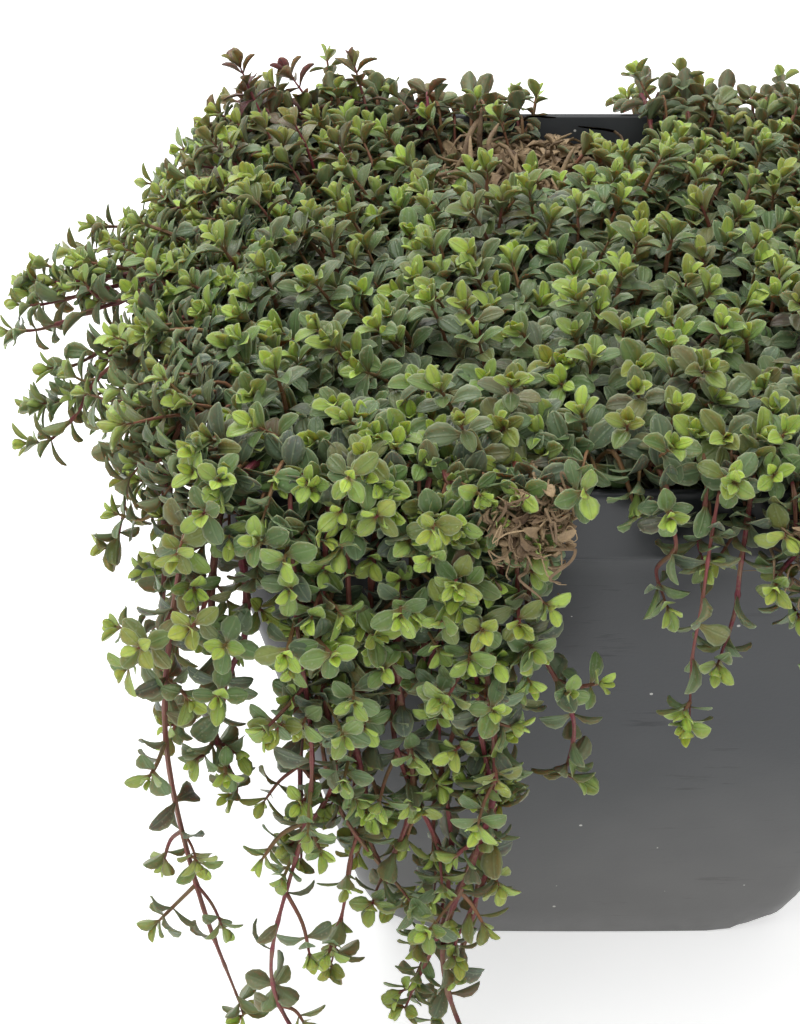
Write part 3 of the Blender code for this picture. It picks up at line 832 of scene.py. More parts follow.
@dataclass(frozen=True)
class PotFinish(Finish):
    """Thin moulded black plastic: a soft gloss, handling scuffs on its walls, dust and specks, and a painted
    reflection of the floor that lightens the walls towards the bottom.
    """

    name: str = "pot_plastic"
    body: tuple[float, ...] = rgba(0.018, 0.021, 0.025)
    faded: tuple[float, ...] = rgba(0.025, 0.028, 0.032)
    scuff: tuple[float, ...] = rgba(0.011, 0.012, 0.014)
    dust_and_floor_reflection: tuple[float, ...] = rgba(0.300, 0.290, 0.270)
    speck: tuple[float, ...] = rgba(0.550, 0.540, 0.500)

    def make(self) -> Material:
        """Builds the material on object coordinates."""
        material, graph = self.new(Specular_IOR_Level=0.5)
        spot = graph.spot()
        patches = graph.group(Groups.mottle(), Scale=38.0, Strength=1.8)
        stretch = {"Vector": spot, "Rotation": (0.0, 0.35, 0.0), "Scale": (0.12, 1.0, 1.0)}
        lines = graph.noise(700.0, 5.0, graph.add("Mapping", stretch).outputs[0])
        area = graph.step(graph.noise(26.0, 2.0), 0.50, 0.64)
        scratches = graph.times(graph.step(lines, 0.60, 0.72), area)
        colour = graph.mix(graph.step(patches, 0.3, 0.7), self.body, self.faded)
        colour = graph.mix(graph.times(scratches, 0.55), colour, self.scuff)
        film = graph.times(graph.step(graph.noise(14.0, 4.0), 0.45, 0.75), 0.07)
        # Painted reflection of the bright floor: low lightens the walls towards the bottom with the same colour as the
        # real dust film.
        low = graph.step(graph.add("SeparateXYZ", {0: spot}).outputs[2], 0.0, 0.060, 0.25, 0.0)
        colour = graph.mix(graph.plus(film, low), colour, self.dust_and_floor_reflection)
        motes = graph.group(Groups.specks(), Scale=420.0, Size=0.10, Share=0.10)
        colour = graph.mix(graph.times(motes, 0.8), colour, self.speck)
        rough = graph.plus(graph.step(patches, 0.2, 0.8, 0.36, 0.50), graph.times(scratches, 0.2))
        peel = graph.times(graph.noise(1500.0, 2.0), 0.5)
        height = graph.plus(peel, graph.times(scratches, -0.6))
        return self.joined(material, colour, rough, height, 0.00006, 0.45)


@dataclass(frozen=True)
class CompostFinish(Finish):
    """Damp compost: near black crumbs with brown fibres."""

    name: str = "compost"
    dark: tuple[float, ...] = rgba(0.018, 0.012, 0.008)
    light: tuple[float, ...] = rgba(0.120, 0.070, 0.038)

    def make(self) -> Material:
        """Builds the material on object coordinates."""
        material, graph = self.new()
        crumbs = graph.group(Groups.mottle(), Scale=420.0, Strength=3.0)
        colour = graph.mix(graph.step(crumbs, 0.35, 0.85), self.dark, self.light)
        return self.joined(material, colour, graph.step(crumbs, 0.2, 0.8, 0.82, 0.98), crumbs, 0.0006, 1.0)


# ------------------------------------------------------------------------------------------ pot


@dataclass(frozen=True)
class Ring:
    """One turn of the pot's section: half its width, its corner radius and its height."""

    half: float
    corner: float
    height: float
    lift: float = 0.0


@dataclass
class Pot:
    """The square nursery pot, sized from the CAD pot's box."""

    wall: float = 1.4 * MM
    floor: float = 1.6 * MM
    band: float = 10.0 * MM
    band_step: float = 1.2 * MM
    rim_corner: float = 8.0 * MM
    base_corner: float = 6.0 * MM
    base_share: float = 0.638
    foot_flat: float = 22.3 * MM
    foot_lift: float = 3.0 * MM
    bow: float = 0.3 * MM
    drain_radius: float = 3.75 * MM
    drain_place: float = 15.0 * MM
    compost_drop: float = 9.0 * MM
    sharp: float = 50.0

    def __post_init__(self) -> None:
        """Reads the rim's width and the height from the CAD pot."""
        low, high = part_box("pot")
        self.half = float(high[0] - low[0]) / 2.0
        self.height = float(high[2])
        self.base_half = self.half * self.base_share
        self.shoulder = self.height - self.band
        self.body_top = self.half - self.band_step
        self.compost_top = self.height - self.compost_drop

    def body(self, share: Array) -> Array:
        """Half the body's outer width at a share of the way from the base to the rim band."""
        return self.base_half + (self.body_top - self.base_half) * share

    def clear(self, points: Array, gap: float = 0.3 * MM) -> Array:
        """Whether each point is above the compost, off the table and outside the pot's walls."""
        spread = np.maximum(np.abs(points[:, 0]), np.abs(points[:, 1]))
        height = points[:, 2]
        outer = self.body(np.clip(height / self.shoulder, 0.0, 1.0))
        outer = np.where(height > self.shoulder, self.half, outer)
        in_wall = (height < self.height + gap) & (spread < outer + gap)
        in_wall &= spread > outer - self.wall - 2.0 * gap
        buried = (height < self.compost_top + gap) & (spread <= outer)
        return ~in_wall & ~buried & (height > 0.3 * MM)

    def turn(self, rings: Sequence[Ring], straight: int = 14, arc: int = 9) -> Array:
        """Points of each ring: gently bowed straight sides, and corner arcs raised by lift.

        Each quarter runs through a corner's arc and along the next straight side, which falls back
        to the ring's height towards its middle.

        Args:
            rings: The rings, from the first row to the last.
            straight: Points on each straight side.
            arc: Points on each corner.

        Returns:
            The points, as (rings, points, 3).
        """
        table = [(ring.half, ring.corner, ring.lift, ring.height) for ring in rings]
        half, corner, lift, height = np.array(table).T[..., None]
        angle = np.linspace(0.0, QUARTER_TURN, arc)[None]
        centre = half - corner
        share = np.linspace(0.0, 1.0, straight + 2)[None, 1:-1]
        side_x = centre - 2.0 * centre * share
        raised = ease(np.abs(side_x), self.foot_flat, self.foot_flat + 5.0 * MM)
        side_y = half + self.bow * (1.0 - (2.0 * share - 1.0) ** 2)
        x = np.concatenate([centre + corner * np.cos(angle), side_x], axis=1)
        y = np.concatenate([centre + corner * np.sin(angle), side_y], axis=1)
        z = np.concatenate([height + lift + 0.0 * angle, height + lift * raised], axis=1)
        quarters = []
        for number in range(4):
            c, s = math.cos(number * QUARTER_TURN), math.sin(number * QUARTER_TURN)
            quarters.append(np.stack([x * c - y * s, x * s + y * c, z], axis=-1))
        return np.concatenate(quarters, axis=1)

    def section(self) -> list[Ring]:
        """The rings from the middle of the underside, up the outside and down the inside."""
        base, top, wall, edge = self.base_half, self.body_top, self.wall, self.rim_corner
        lift, opening = self.foot_lift, edge - self.wall
        corner_growth = edge - self.band_step - self.base_corner
        inner, inner_corner = base - wall, self.base_corner - wall
        rings = [Ring(0.2 * MM, 0.1 * MM, 0.0)]
        rings += [Ring(base * share, base * share * 0.34, 0.0) for share in (0.2, 0.4, 0.6, 0.8)]
        rings += [
            Ring(base - 1.2 * MM, 9.0 * MM, 0.0),
            Ring(base - 0.3 * MM, self.base_corner, 0.05 * MM, lift),
            Ring(base, self.base_corner, 0.5 * MM, lift),
        ]
        for share in np.linspace(0.08, 0.995, 24):
            corner = self.base_corner + corner_growth * share
            foot = lift * max(0.0, 1.0 - share * 9.0)
            rings.append(Ring(self.body(share), corner, share * self.shoulder, foot))
        rings += [
            Ring(top + 0.15 * MM, edge - self.band_step, self.shoulder - 0.15 * MM),
            Ring(self.half - 0.35 * MM, edge - 0.3 * MM, self.shoulder),
            Ring(self.half - 0.05 * MM, edge, self.shoulder + 0.3 * MM),
            Ring(self.half, edge, self.shoulder + 0.9 * MM),
            Ring(self.half, edge, self.height - 0.9 * MM),
            Ring(self.half - 0.1 * MM, edge, self.height - 0.35 * MM),
            Ring(self.half - 0.4 * MM, edge - 0.3 * MM, self.height),
            Ring(self.half - wall + 0.3 * MM, opening, self.height),
            Ring(self.half - wall, opening, self.height - 0.3 * MM),
            Ring(self.half - wall - 0.1 * MM, opening, self.shoulder + 0.2 * MM),
            Ring(top - wall, opening - self.band_step, self.shoulder - 1.2 * MM),
        ]
        for share in np.linspace(0.9, 0.1, 8):
            corner = inner_corner + corner_growth * share
            rings.append(Ring(self.body(share) - wall, corner, share * self.shoulder))
        rings += [
            Ring(inner, inner_corner, self.floor + 0.8 * MM, lift),
            Ring(inner - 0.8 * MM, inner_corner, self.floor, lift),
            Ring(inner - 2.0 * MM, 9.0 * MM, self.floor),
        ]
        rings += [Ring(inner * share, inner * share * 0.34, self.floor) for share in (0.75, 0.5, 0.25)]
        return rings + [Ring(0.2 * MM, 0.1 * MM, self.floor)]

    def drain_cutter(self) -> Object:
        """Four round bars through the floor, kept out of the render."""
        angle = np.arange(28) * 2.0 * math.pi / 28
        place = np.array([(x, y) for x in (-1.0, 1.0) for y in (-1.0, 1.0)]) * self.drain_place
        circle = self.drain_radius * np.stack([np.cos(angle), np.sin(angle)], axis=-1)
        ends = np.zeros((4, 2, 3))
        ends[..., :2] = place[:, None]
        ends[..., 2] = np.array([-2.0, 5.0]) * MM
        rings = np.repeat(ends[:, :, None], len(angle), axis=2)
        rings[..., :2] += circle
        cutter = Skin.tubes(rings, ends).build("drain_cutter", bpy.data.materials.new("cutter"))
        cutter.hide_render = True
        cutter.display_type = "WIRE"
        return cutter

    def build(self, finish: PotFinish) -> Object:
        """The pot as one closed shell with its drain holes cut."""
        shell = Skin.loft(self.turn(self.section())).build("pot_shell", finish.make())
        cutter = self.drain_cutter()
        cut = shell.modifiers.new("drains", "BOOLEAN")
        cut.operation = "DIFFERENCE"
        cut.solver = "EXACT"
        cut.object = cutter
        graph = bpy.context.evaluated_depsgraph_get()
        whole = bpy.data.meshes.new_from_object(shell.evaluated_get(graph))
        shell.modifiers.clear()
        shell.data = whole
        bpy.data.objects.remove(cutter)
        whole.set_sharp_from_angle(angle=math.radians(self.sharp))
        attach(shell, "root")
        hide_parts("pot")
        return shell


# ---------------------------------------------------------------------------------------- compost


@dataclass
class Compost:
    """The compost: a crumbly surface on a block that fills the pot, with litter lying on it."""

    pot: Pot
    gap: float = 0.3 * MM
    crumbs: int = 1100
    dead_leaves: int = 1100
    twigs: int = 190
    bare_spot: tuple[float, float] = (-9.5 * MM, 37.0 * MM)
    bare_size: float = 14.0 * MM
    heap: float = 7.0 * MM

    def away(self, x: Array, y: Array) -> Array:
        """How far each place is from the middle of the bare spot, as a share of the spot's size."""
        return np.hypot(x - self.bare_spot[0], y - self.bare_spot[1]) / self.bare_size

    def ground(self, x: Array, y: Array) -> Array:
        """The surface's height: hills of three sizes about its level, heaped in the bare spot."""
        hills = 0.9 * waves(x, y, 3, 30.0 * MM) + 0.5 * waves(x, y, 4, 7.0 * MM) + 0.3 * waves(x, y, 5, 3.0 * MM)
        return self.pot.compost_top + hills * MM + self.heap * np.exp(-((self.away(x, y) / 1.3) ** 2))

    def block(self, material: Material) -> Object:
        """The block: rings from the middle of its underside, up the walls and in over its top."""
        pot = self.pot
        inner, base = pot.body_top - pot.wall - self.gap, pot.base_half - pot.wall - self.gap
        floor, corner = pot.floor + self.gap, pot.base_corner - pot.wall
        rings = [
            Ring(0.2 * MM, 0.1 * MM, floor),
            Ring(base - 2.5 * MM, 9.0 * MM, floor),
            Ring(base - 0.3 * MM, corner, floor + pot.foot_lift),
        ]
        for share in (0.3, 0.6, 0.9):
            half = base + (pot.body_top - pot.base_half) * share - 0.2 * MM
            rings.append(Ring(half, corner, share * pot.shoulder))
        rings.append(Ring(inner - 0.1 * MM, corner, pot.compost_top - 1.5 * MM))
        sides = len(rings)
        for share in np.linspace(0.985, 0.012, 60):
            rings.append(Ring(inner * share, inner * share * 0.12, pot.compost_top))
        points = pot.turn(rings)
        top = points[sides:]
        fall = ease(np.abs(top[..., :2]).max(axis=-1), inner - 6.0 * MM, inner)
        top[..., 2] = self.ground(top[..., 0], top[..., 1]) - 2.0 * MM * fall
        piece = Skin.loft(points).build("compost_block", material)
        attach(piece, "root")
        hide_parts("compost")
        return piece

    def scatter(self, rng: np.random.Generator, count: int) -> Array:
        """Places on the surface, half of them in the bare spot, with their heights."""
        limit = self.pot.half - 6.0 * MM
        spots = rng.uniform(-limit, limit, (count, 2))
        heap = rng.normal(0.0, 0.62, (count, 2)) * self.bare_size + np.array(self.bare_spot)
        chosen = np.where(rng.random((count, 1)) < 0.55, np.clip(heap, -limit, limit), spots)
        return np.column_stack([chosen, self.ground(chosen[:, 0], chosen[:, 1])])

    def crumb_skin(self, rng: np.random.Generator) -> Skin:
        """Crumbs: tubes of uneven rings closed to points, so short that they read as lumps."""
        count, ring = self.crumbs, 6
        centre = self.scatter(rng, count)
        size = rng.uniform(0.35, 1.15, count) * MM
        axis = unit(rng.normal(0.0, 1.0, (count, 3)))
        share = np.linspace(-1.0, 1.0, 5)
        points = centre[:, None] + axis[:, None] * (share[:, None] * size[:, None, None])
        skin = Stems(points, unit(np.cross(axis, UP + 0.01)), size, *lifeless(rng, count)).skin(ring)
        bulge = np.repeat(np.array([0.35, 0.8, 1.0, 0.75, 0.5]), ring)
        offsets = skin.points.reshape(count, -1, 3)
        spine = np.repeat(points, ring, axis=1)
        rough = rng.uniform(0.6, 1.15, (count, len(bulge)))
        offsets[:, :-2] = spine + (offsets[:, :-2] - spine) * (bulge * rough)[..., None]
        skin.points = offsets.reshape(-1, 3)
        return skin

    def litter(self, rng: np.random.Generator, shape: LeafShape) -> Skin:
        """Dead leaves, curled up and lying at every angle, and short twigs."""
        count = self.dead_leaves
        foot = self.scatter(rng, count) + UP * rng.uniform(0.2, 2.2, (count, 1)) * MM
        reach = unit(rng.normal(0.0, 1.0, (count, 3)) * (1.0, 1.0, 0.45))
        face = rng.normal(0.0, 0.7, (count, 3)) + UP
        leaves = Leaves.withered(rng, foot, reach, face, (2.0, 4.4), (0.8, 2.0), (0.5, 2.2), (0.2, 1.1))
        count = self.twigs
        start = self.scatter(rng, count) + UP * 0.6 * MM
        heading = unit(rng.normal(0.0, 1.0, (count, 3)) * (1.0, 1.0, 0.3) + UP * 0.15)
        length = rng.uniform(4.0, 14.0, (count, 1)) * MM
        bend = rng.normal(0.0, 0.18, (count, 3)) * length
        knots = np.stack([start, start + heading * length * 0.5 + bend, start + heading * length], axis=1)
        radius = rng.uniform(0.22, 0.5, count) * MM
        twigs = Stems(smooth_curves(knots, 8), unit(np.cross(heading, UP)), radius, *lifeless(rng, count))
        limit = self.pot.half - 4.5 * MM
        skin = Skin.joined([shape.skin(leaves), twigs.skin(6)])
        skin.points[:, :2] = np.clip(skin.points[:, :2], -limit, limit)
        return skin

    def build(self, rng: np.random.Generator, shape: LeafShape, dry: Material) -> list[Object]:
        """The block, its crumbs and its litter."""
        material = CompostFinish().make()
        block = self.block(material)
        crumbs = self.crumb_skin(rng).build("compost_crumbs", material)
        litter = self.litter(rng, shape).build("compost_litter", dry)
        for piece, slot in ((crumbs, "compost"), (litter, "dry_thyme")):
            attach(piece, "root")
        return [block, crumbs, litter]


# ---------------------------------------------------------------------------------------- plants


@dataclass(frozen=True)
class Trail:
    """One trailing plant: the side it hangs over and the shape of its main stem.

    share is its place along that side as a fraction of the half width, swing its heading off
    straight out in degrees, reach how far past the rim it hangs, and tip its lowest height, both
    in millimetres. strands is how many long stems spring from its root.
    """

    side: Side
    share: float
    swing: float
    reach: float
    tip: float
    strands: int

    def normal(self) -> Array:
        """Straight out of the pot on this side."""
        heading = math.radians(self.side.value)
        return np.array([math.cos(heading), math.sin(heading), 0.0])

    def sun(self) -> Array:
        """Where the light comes from for leaves that hang on this side: above and outside."""
        return unit(UP * 0.8 + self.normal() * 0.75)


TRAILS: tuple[Trail, ...] = (
    Trail(Side.FRONT, -0.90, -30.0, 6.0, 12.0, 3),
    Trail(Side.FRONT, -0.75, -14.0, 9.0, 3.0, 4),
    Trail(Side.FRONT, -0.61, -8.0, 6.0, 26.0, 5),
    Trail(Side.FRONT, -0.47, 0.0, 9.0, 3.0, 4),
    Trail(Side.FRONT, -0.37, -3.0, 6.0, 12.0, 4),
    Trail(Side.FRONT, -0.30, -1.0, 6.0, 20.0, 3),
    Trail(Side.FRONT, 0.08, 2.0, 4.0, 88.0, 2),
    Trail(Side.FRONT, 0.29, -1.0, 6.0, 70.0, 3),
    Trail(Side.FRONT, 0.52, 5.0, 6.0, 80.0, 3),
    Trail(Side.FRONT, 0.80, 12.0, 8.0, 66.0, 3),
    Trail(Side.LEFT, -0.72, 10.0, 6.0, 52.0, 2),
    Trail(Side.LEFT, -0.48, 8.0, 12.0, 76.0, 3),
    Trail(Side.LEFT, -0.24, 6.0, 24.0, 86.0, 5),
    Trail(Side.LEFT, 0.00, 0.0, 29.0, 94.0, 5),
    Trail(Side.LEFT, 0.26, -4.0, 21.0, 97.0, 4),
    Trail(Side.LEFT, 0.50, -6.0, 14.0, 92.0, 3),
    Trail(Side.LEFT, 0.76, -14.0, 13.0, 90.0, 3),
    Trail(Side.RIGHT, -0.66, -8.0, 11.0, 70.0, 3),
    Trail(Side.RIGHT, -0.20, -3.0, 14.0, 86.0, 2),
    Trail(Side.RIGHT, 0.22, 4.0, 11.0, 76.0, 3),
    Trail(Side.RIGHT, 0.68, 8.0, 14.0, 88.0, 2),
    Trail(Side.BACK, -0.70, 10.0, 12.0, 84.0, 2),
    Trail(Side.BACK, -0.25, 4.0, 9.0, 90.0, 2),
    Trail(Side.BACK, 0.30, -4.0, 11.0, 80.0, 3),
    Trail(Side.BACK, 0.74, -10.0, 9.0, 88.0, 2),
)

DRY_TRAILS: tuple[Trail, ...] = (
    Trail(Side.FRONT, -0.25, -4.0, 4.0, 88.0, 5),
    Trail(Side.FRONT, 0.40, 3.0, 4.0, 76.0, 2),
)


@dataclass
class TrailingPlant:
    """One trailing plant: its long stems, the side shoots in their leaf joints, and the leaves."""

    pot: Pot
    trail: Trail
    rng: np.random.Generator
    spread: float = 0.06
    joint: float = 5.6 * MM
    short_joint: float = 4.4 * MM
    open_leans: tuple[float, ...] = (22.0, 50.0, 68.0, 78.0, 88.0, 96.0)
    open_cups: tuple[float, ...] = (0.50, 0.42, 0.36, 0.32, 0.30, 0.26)
    open_curls: tuple[float, ...] = (0.15, 0.35, 0.55, 0.75, 1.00, 1.20)
    hanging: tuple[float, ...] = (0.35, 0.90, 1.02, 0.90, 1.05, 1.10)
    spreading: tuple[float, ...] = (0.20, 0.42, 0.62, 0.80, 0.96, 1.04)
    shoot_share: float = 0.70
    low_tip: float = 8.0 * MM

    def knots(self) -> tuple[Array, Array]:
        """Knots of every strand, and a level direction beside each strand's heading.

        The first strand goes as far and as low as the plant does. The others hang closer and end
        at any height above it. A strand that reaches the table turns out along it.
        """
        pot, trail, rng = self.pot, self.trail, self.rng
        count, tip = trail.strands, trail.tip * MM
        first = np.arange(count) == 0
        normal = trail.normal()
        beside = np.abs(normal[[1, 0, 2]]) * (1.0, 1.0, 0.0)
        share = trail.share + self.spread * np.linspace(-1.0, 1.0, count) + rng.normal(0.0, 0.012, count)
        share = np.clip(share, -0.86, 0.86)
        inset = rng.uniform(4.5, 9.5, count) * MM
        place = beside * (share * (pot.half - 3.0 * MM))[:, None]
        place = place + normal * (pot.half - pot.wall - inset)[:, None]
        swing = np.radians(trail.side.value + trail.swing + rng.normal(0.0, 6.0, count))
        heading = np.stack([np.cos(swing), np.sin(swing), np.zeros(count)], axis=1)
        to_rim = (inset + pot.wall) / np.maximum(heading @ normal, 0.6)
        nearest, nearer_most = (0.45, 0.85) if trail.side is Side.FRONT else (0.55, 0.98)
        nearer = np.where(first, rng.uniform(0.95, 1.05, count), rng.uniform(nearest, nearer_most, count))
        reach = np.maximum(trail.reach * MM * nearer, 2.6 * MM)
        higher = np.where(first, 0.0, rng.uniform(0.10, 0.75, count))
        low = np.maximum(tip + higher * (pot.height - tip), 2.6 * MM)
        drop = pot.height - low
        arch = rng.uniform(0.6, 2.0, count) * MM + 0.03 * reach
        loose = np.minimum(1.0, drop / (60.0 * MM))
        sway = np.clip(rng.normal(0.0, 1.0, (3, count)), -1.6, 1.6) * (3.4 * MM * loose)
        bulge = rng.uniform(0.0, 5.5, (2, count)) * MM * loose
        lying = np.where(low < self.low_tip, 7.0, rng.uniform(0.5, 2.5, count)) * MM
        hang = np.clip(drop / (2.5 * reach), 0.0, 1.0)
        outer = [reach * (wide + (close - wide) * hang) for wide, close in zip(self.spreading, self.hanging)]
        still, rim = np.zeros(count), pot.height + np.zeros(count)
        rows = (
            (0.00, still, still + pot.compost_top - 1.0 * MM, still),
            (0.12, still, rim - 2.0 * MM, still),
            (0.62, still, rim + 0.7 * MM + 0.7 * arch, still),
            (1.00, outer[0], rim + 0.6 * MM + arch, 0.2 * sway[0]),
            (1.00, outer[1], rim - 0.13 * drop, 0.6 * sway[0]),
            (1.00, outer[2] + 0.5 * bulge[0], rim - 0.40 * drop, sway[0]),
            (1.00, outer[3] + bulge[1], rim - 0.72 * drop, sway[1]),
            (1.00, outer[4] + bulge[0], low + 0.02 * drop, sway[2]),
            (1.00, outer[5] + bulge[0] + lying, low, 1.4 * sway[2]),
        )
        knots = []
        for inward, out, high, aside in rows:
            level = heading * (inward * to_rim + out)[:, None] + beside * aside[:, None]
            knots.append(place + level + UP * high[:, None])
        return np.stack(knots, axis=1), unit(np.cross(UP, heading))

    def strands(self) -> Stems:
        """The long stems."""
        knots, beside = self.knots()
        count, rng = len(knots), self.rng
        radius = rng.uniform(0.30, 0.46, count) * MM * (1.0 if self.trail.tip < 60.0 else 0.8)
        tint, blush = rng.uniform(0.0, 1.0, count), rng.uniform(0.75, 1.0, count)
        return Stems(smooth_curves(knots, 140), beside, radius, np.full(count, 0.9), tint, blush)

    def joints(self, stems: Stems) -> Array:
        """Lengths of each stem's leaf joints, unevenly spaced, measured back from its tip."""
        joint = self.joint if self.trail.side is Side.FRONT else self.short_joint
        most = int(stems.lengths[:, -1].max() / joint) + 1
        gaps = joint * self.rng.uniform(0.8, 1.2, (len(stems.points), most))
        return stems.lengths[:, -1:] - np.cumsum(gaps, axis=1) + 1.5 * MM

    def shoots(self, stems: Stems, joints: Array) -> Stems:
        """Side shoots: from a leaf joint outwards, then up towards the light."""
        rng = self.rng
        from_tip = stems.lengths[:, -1:] - joints
        ramp = np.minimum(60.0 * MM, 0.6 * stems.lengths[:, -1:])
        share = self.shoot_share * (0.25 + 0.75 * ease(from_tip, 6.0 * MM, ramp))
        which, number = np.nonzero((joints > 7.0 * MM) & (rng.random(joints.shape) < share))
        which, number = np.repeat(which, 2), np.repeat(number, 2)
        keep = rng.random(len(which)) < 0.72
        flip = np.tile([0.0, HALF_TURN], len(which) // 2)[keep]
        which, number = which[keep], number[keep]
        count = len(which)
        spot, along, side, back = stems.at(which, joints[which, number])
        out = turned(side, back, number * QUARTER_TURN + flip + rng.normal(0.0, 0.3, count))
        grown = ease(from_tip[which, number], 2.0 * MM, 22.0 * MM)
        length = (rng.uniform(2.4, 9.5, count) * MM * (0.35 + 0.65 * grown))[:, None]
        normal = self.trail.normal()
        heading = unit(out * 0.8 + along * 0.75 + normal * 0.25)
        hanging = 1.0 - ease(spot[:, 2:], 45.0 * MM, 85.0 * MM)
        climb = rng.uniform(0.15, 0.9, (count, 1)) - hanging * rng.uniform(0.2, 1.1, (count, 1))
        upward = unit(heading * 0.60 + UP * climb + normal * rng.uniform(0.1, 0.8, (count, 1)))
        middle = spot + heading * length * 0.5
        knots = np.stack([spot, middle, middle + upward * length * 0.5], axis=1)
        beside = unit(np.cross(heading, upward) + 0.2 * np.cross(heading, UP) + 1e-6)
        good = self.pot.clear(knots[:, 2]) & self.pot.clear(knots[:, 1])
        left = int(good.sum())
        radius = rng.uniform(0.20, 0.31, left) * MM
        tint, blush = rng.uniform(0.0, 1.0, left), rng.uniform(0.25, 0.95, left)
        return Stems(smooth_curves(knots[good], 9), beside[good], radius, np.full(left, 0.45), tint, blush)

    def main_leaves(self, stems: Stems, joints: Array) -> Leaves:
        """The pairs of big leaves at the joints of the long stems."""
        rng = self.rng
        look = LeafHabit(length=4.6 * MM, width_share=0.56, light=0.50)
        which, number = np.nonzero(joints > 5.0 * MM)
        length = joints[which, number]
        age = np.clip(0.26 + 0.45 * (stems.lengths[which, -1] - length) / (26.0 * MM), 0.0, 0.80)
        leaves = look.pairs(stems, rng, which, length, age, number * QUARTER_TURN, 0.2, self.trail.sun())
        leaves.blush *= 0.08 + 0.6 * (rng.random(len(leaves.blush)) < 0.05)
        high = ease(leaves.foot[:, 2], 35.0 * MM, 80.0 * MM)
        return leaves.kept(rng.random(len(leaves.foot)) < 0.46 + 0.46 * high)

    def build(self, name: str, shape: LeafShape, leaf: Material, stem: Material) -> list[Object]:
        """The plant's stems and leaves as two pieces that stand for its CAD node."""
        rng, sun = self.rng, self.trail.sun()
        strands = self.strands()
        joints = self.joints(strands)
        leaves = [self.main_leaves(strands, joints)]
        opened = {"leans": self.open_leans, "cups": self.open_cups, "curls": self.open_curls}
        look = LeafHabit(length=3.9 * MM, width_share=0.60, light=0.25, **opened)
        leaves.append(look.dress(strands, rng, strands.lengths[:, -1] - 4.5 * MM, sun, 4))
        leaves[-1].blush *= 0.15
        shoots = self.shoots(strands, joints)
        hanging = 1.0 - ease(shoots.points[:, -1, 2], 40.0 * MM, 85.0 * MM)
        bare = shoots.lengths[:, -1] * (0.12 + 0.45 * hanging)
        leaves.append(look.dress(shoots, rng, bare, sun, 5))
        leaves[-1].blush *= 0.10
        wood = Skin.joined([strands.skin(8, joints), shoots.skin(6)])
        green = shape.skin(Leaves.joined(leaves).outside(self.pot))
        pieces = [wood.build(f"{name}_stems", stem), green.build(f"{name}_leaves", leaf)]
        for piece in pieces:
            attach(piece, "root")
            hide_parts(name)
        return pieces


@dataclass
class DryTuft:
    """Dead growth at the rim: bare stems that bend over it and end in a tangle of fibres."""

    pot: Pot
    trail: Trail
    rng: np.random.Generator
    fibres: int = 130
    leaves: int = 70
    size: tuple[float, float, float] = (3.0 * MM, 1.5 * MM, 3.3 * MM)

    def build(self, name: str, shape: LeafShape, dry: Material) -> list[Object]:
        """The tuft's stems and fibres, and its dead leaves, as two pieces."""
        rng, normal = self.rng, self.trail.normal()
        knots, beside = TrailingPlant(self.pot, self.trail, rng).knots()
        radius = rng.uniform(0.22, 0.42, len(knots)) * MM
        stems = Stems(smooth_curves(knots[:, :5], 60), beside, radius, *lifeless(rng, len(knots)))
        middle = knots[:, 4].mean(axis=0) + normal * 2.6 * MM
        count, wall = self.fibres, self.pot.half + 0.5 * MM
        start = middle + rng.normal(0.0, 0.5, (count, 3)) * self.size
        steps = rng.normal(0.0, 1.0, (count, 6, 3)) * 1.1 * MM - np.array([0.0, 0.0, 0.25 * MM])
        paths = start[:, None] + np.cumsum(steps, axis=1)
        paths = paths + normal * np.maximum(0.0, wall - paths @ normal)[..., None]
        curls = smooth_curves(paths, 22)
        curls = curls + normal * np.maximum(0.0, wall - curls @ normal)[..., None]
        radius = rng.uniform(0.07, 0.22, count) * MM
        fibres = Stems(curls, unit(rng.normal(0.0, 1.0, (count, 3))), radius, *lifeless(rng, count))
        count = self.leaves
        foot = middle + normal * 0.8 * MM + rng.normal(0.0, 0.8, (count, 3)) * self.size
        foot = foot + normal * np.maximum(0.0, wall + 0.8 * MM - foot @ normal)[:, None]
        reach = unit(rng.normal(0.0, 1.0, (count, 3)) + normal * 0.8)
        face = rng.normal(0.0, 1.0, (count, 3)) + UP * 0.5
        withered = Leaves.withered(rng, foot, reach, face, (1.8, 3.8), (0.7, 1.6), (0.8, 2.6), (0.3, 1.2))
        pieces = [
            Skin.joined([stems.skin(6), fibres.skin(5)]).build(f"{name}_fibres", dry),
            shape.skin(withered.outside(self.pot)).build(f"{name}_leaves", dry),
        ]
        for piece in pieces:
            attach(piece, "root")
            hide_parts(name)
        return pieces


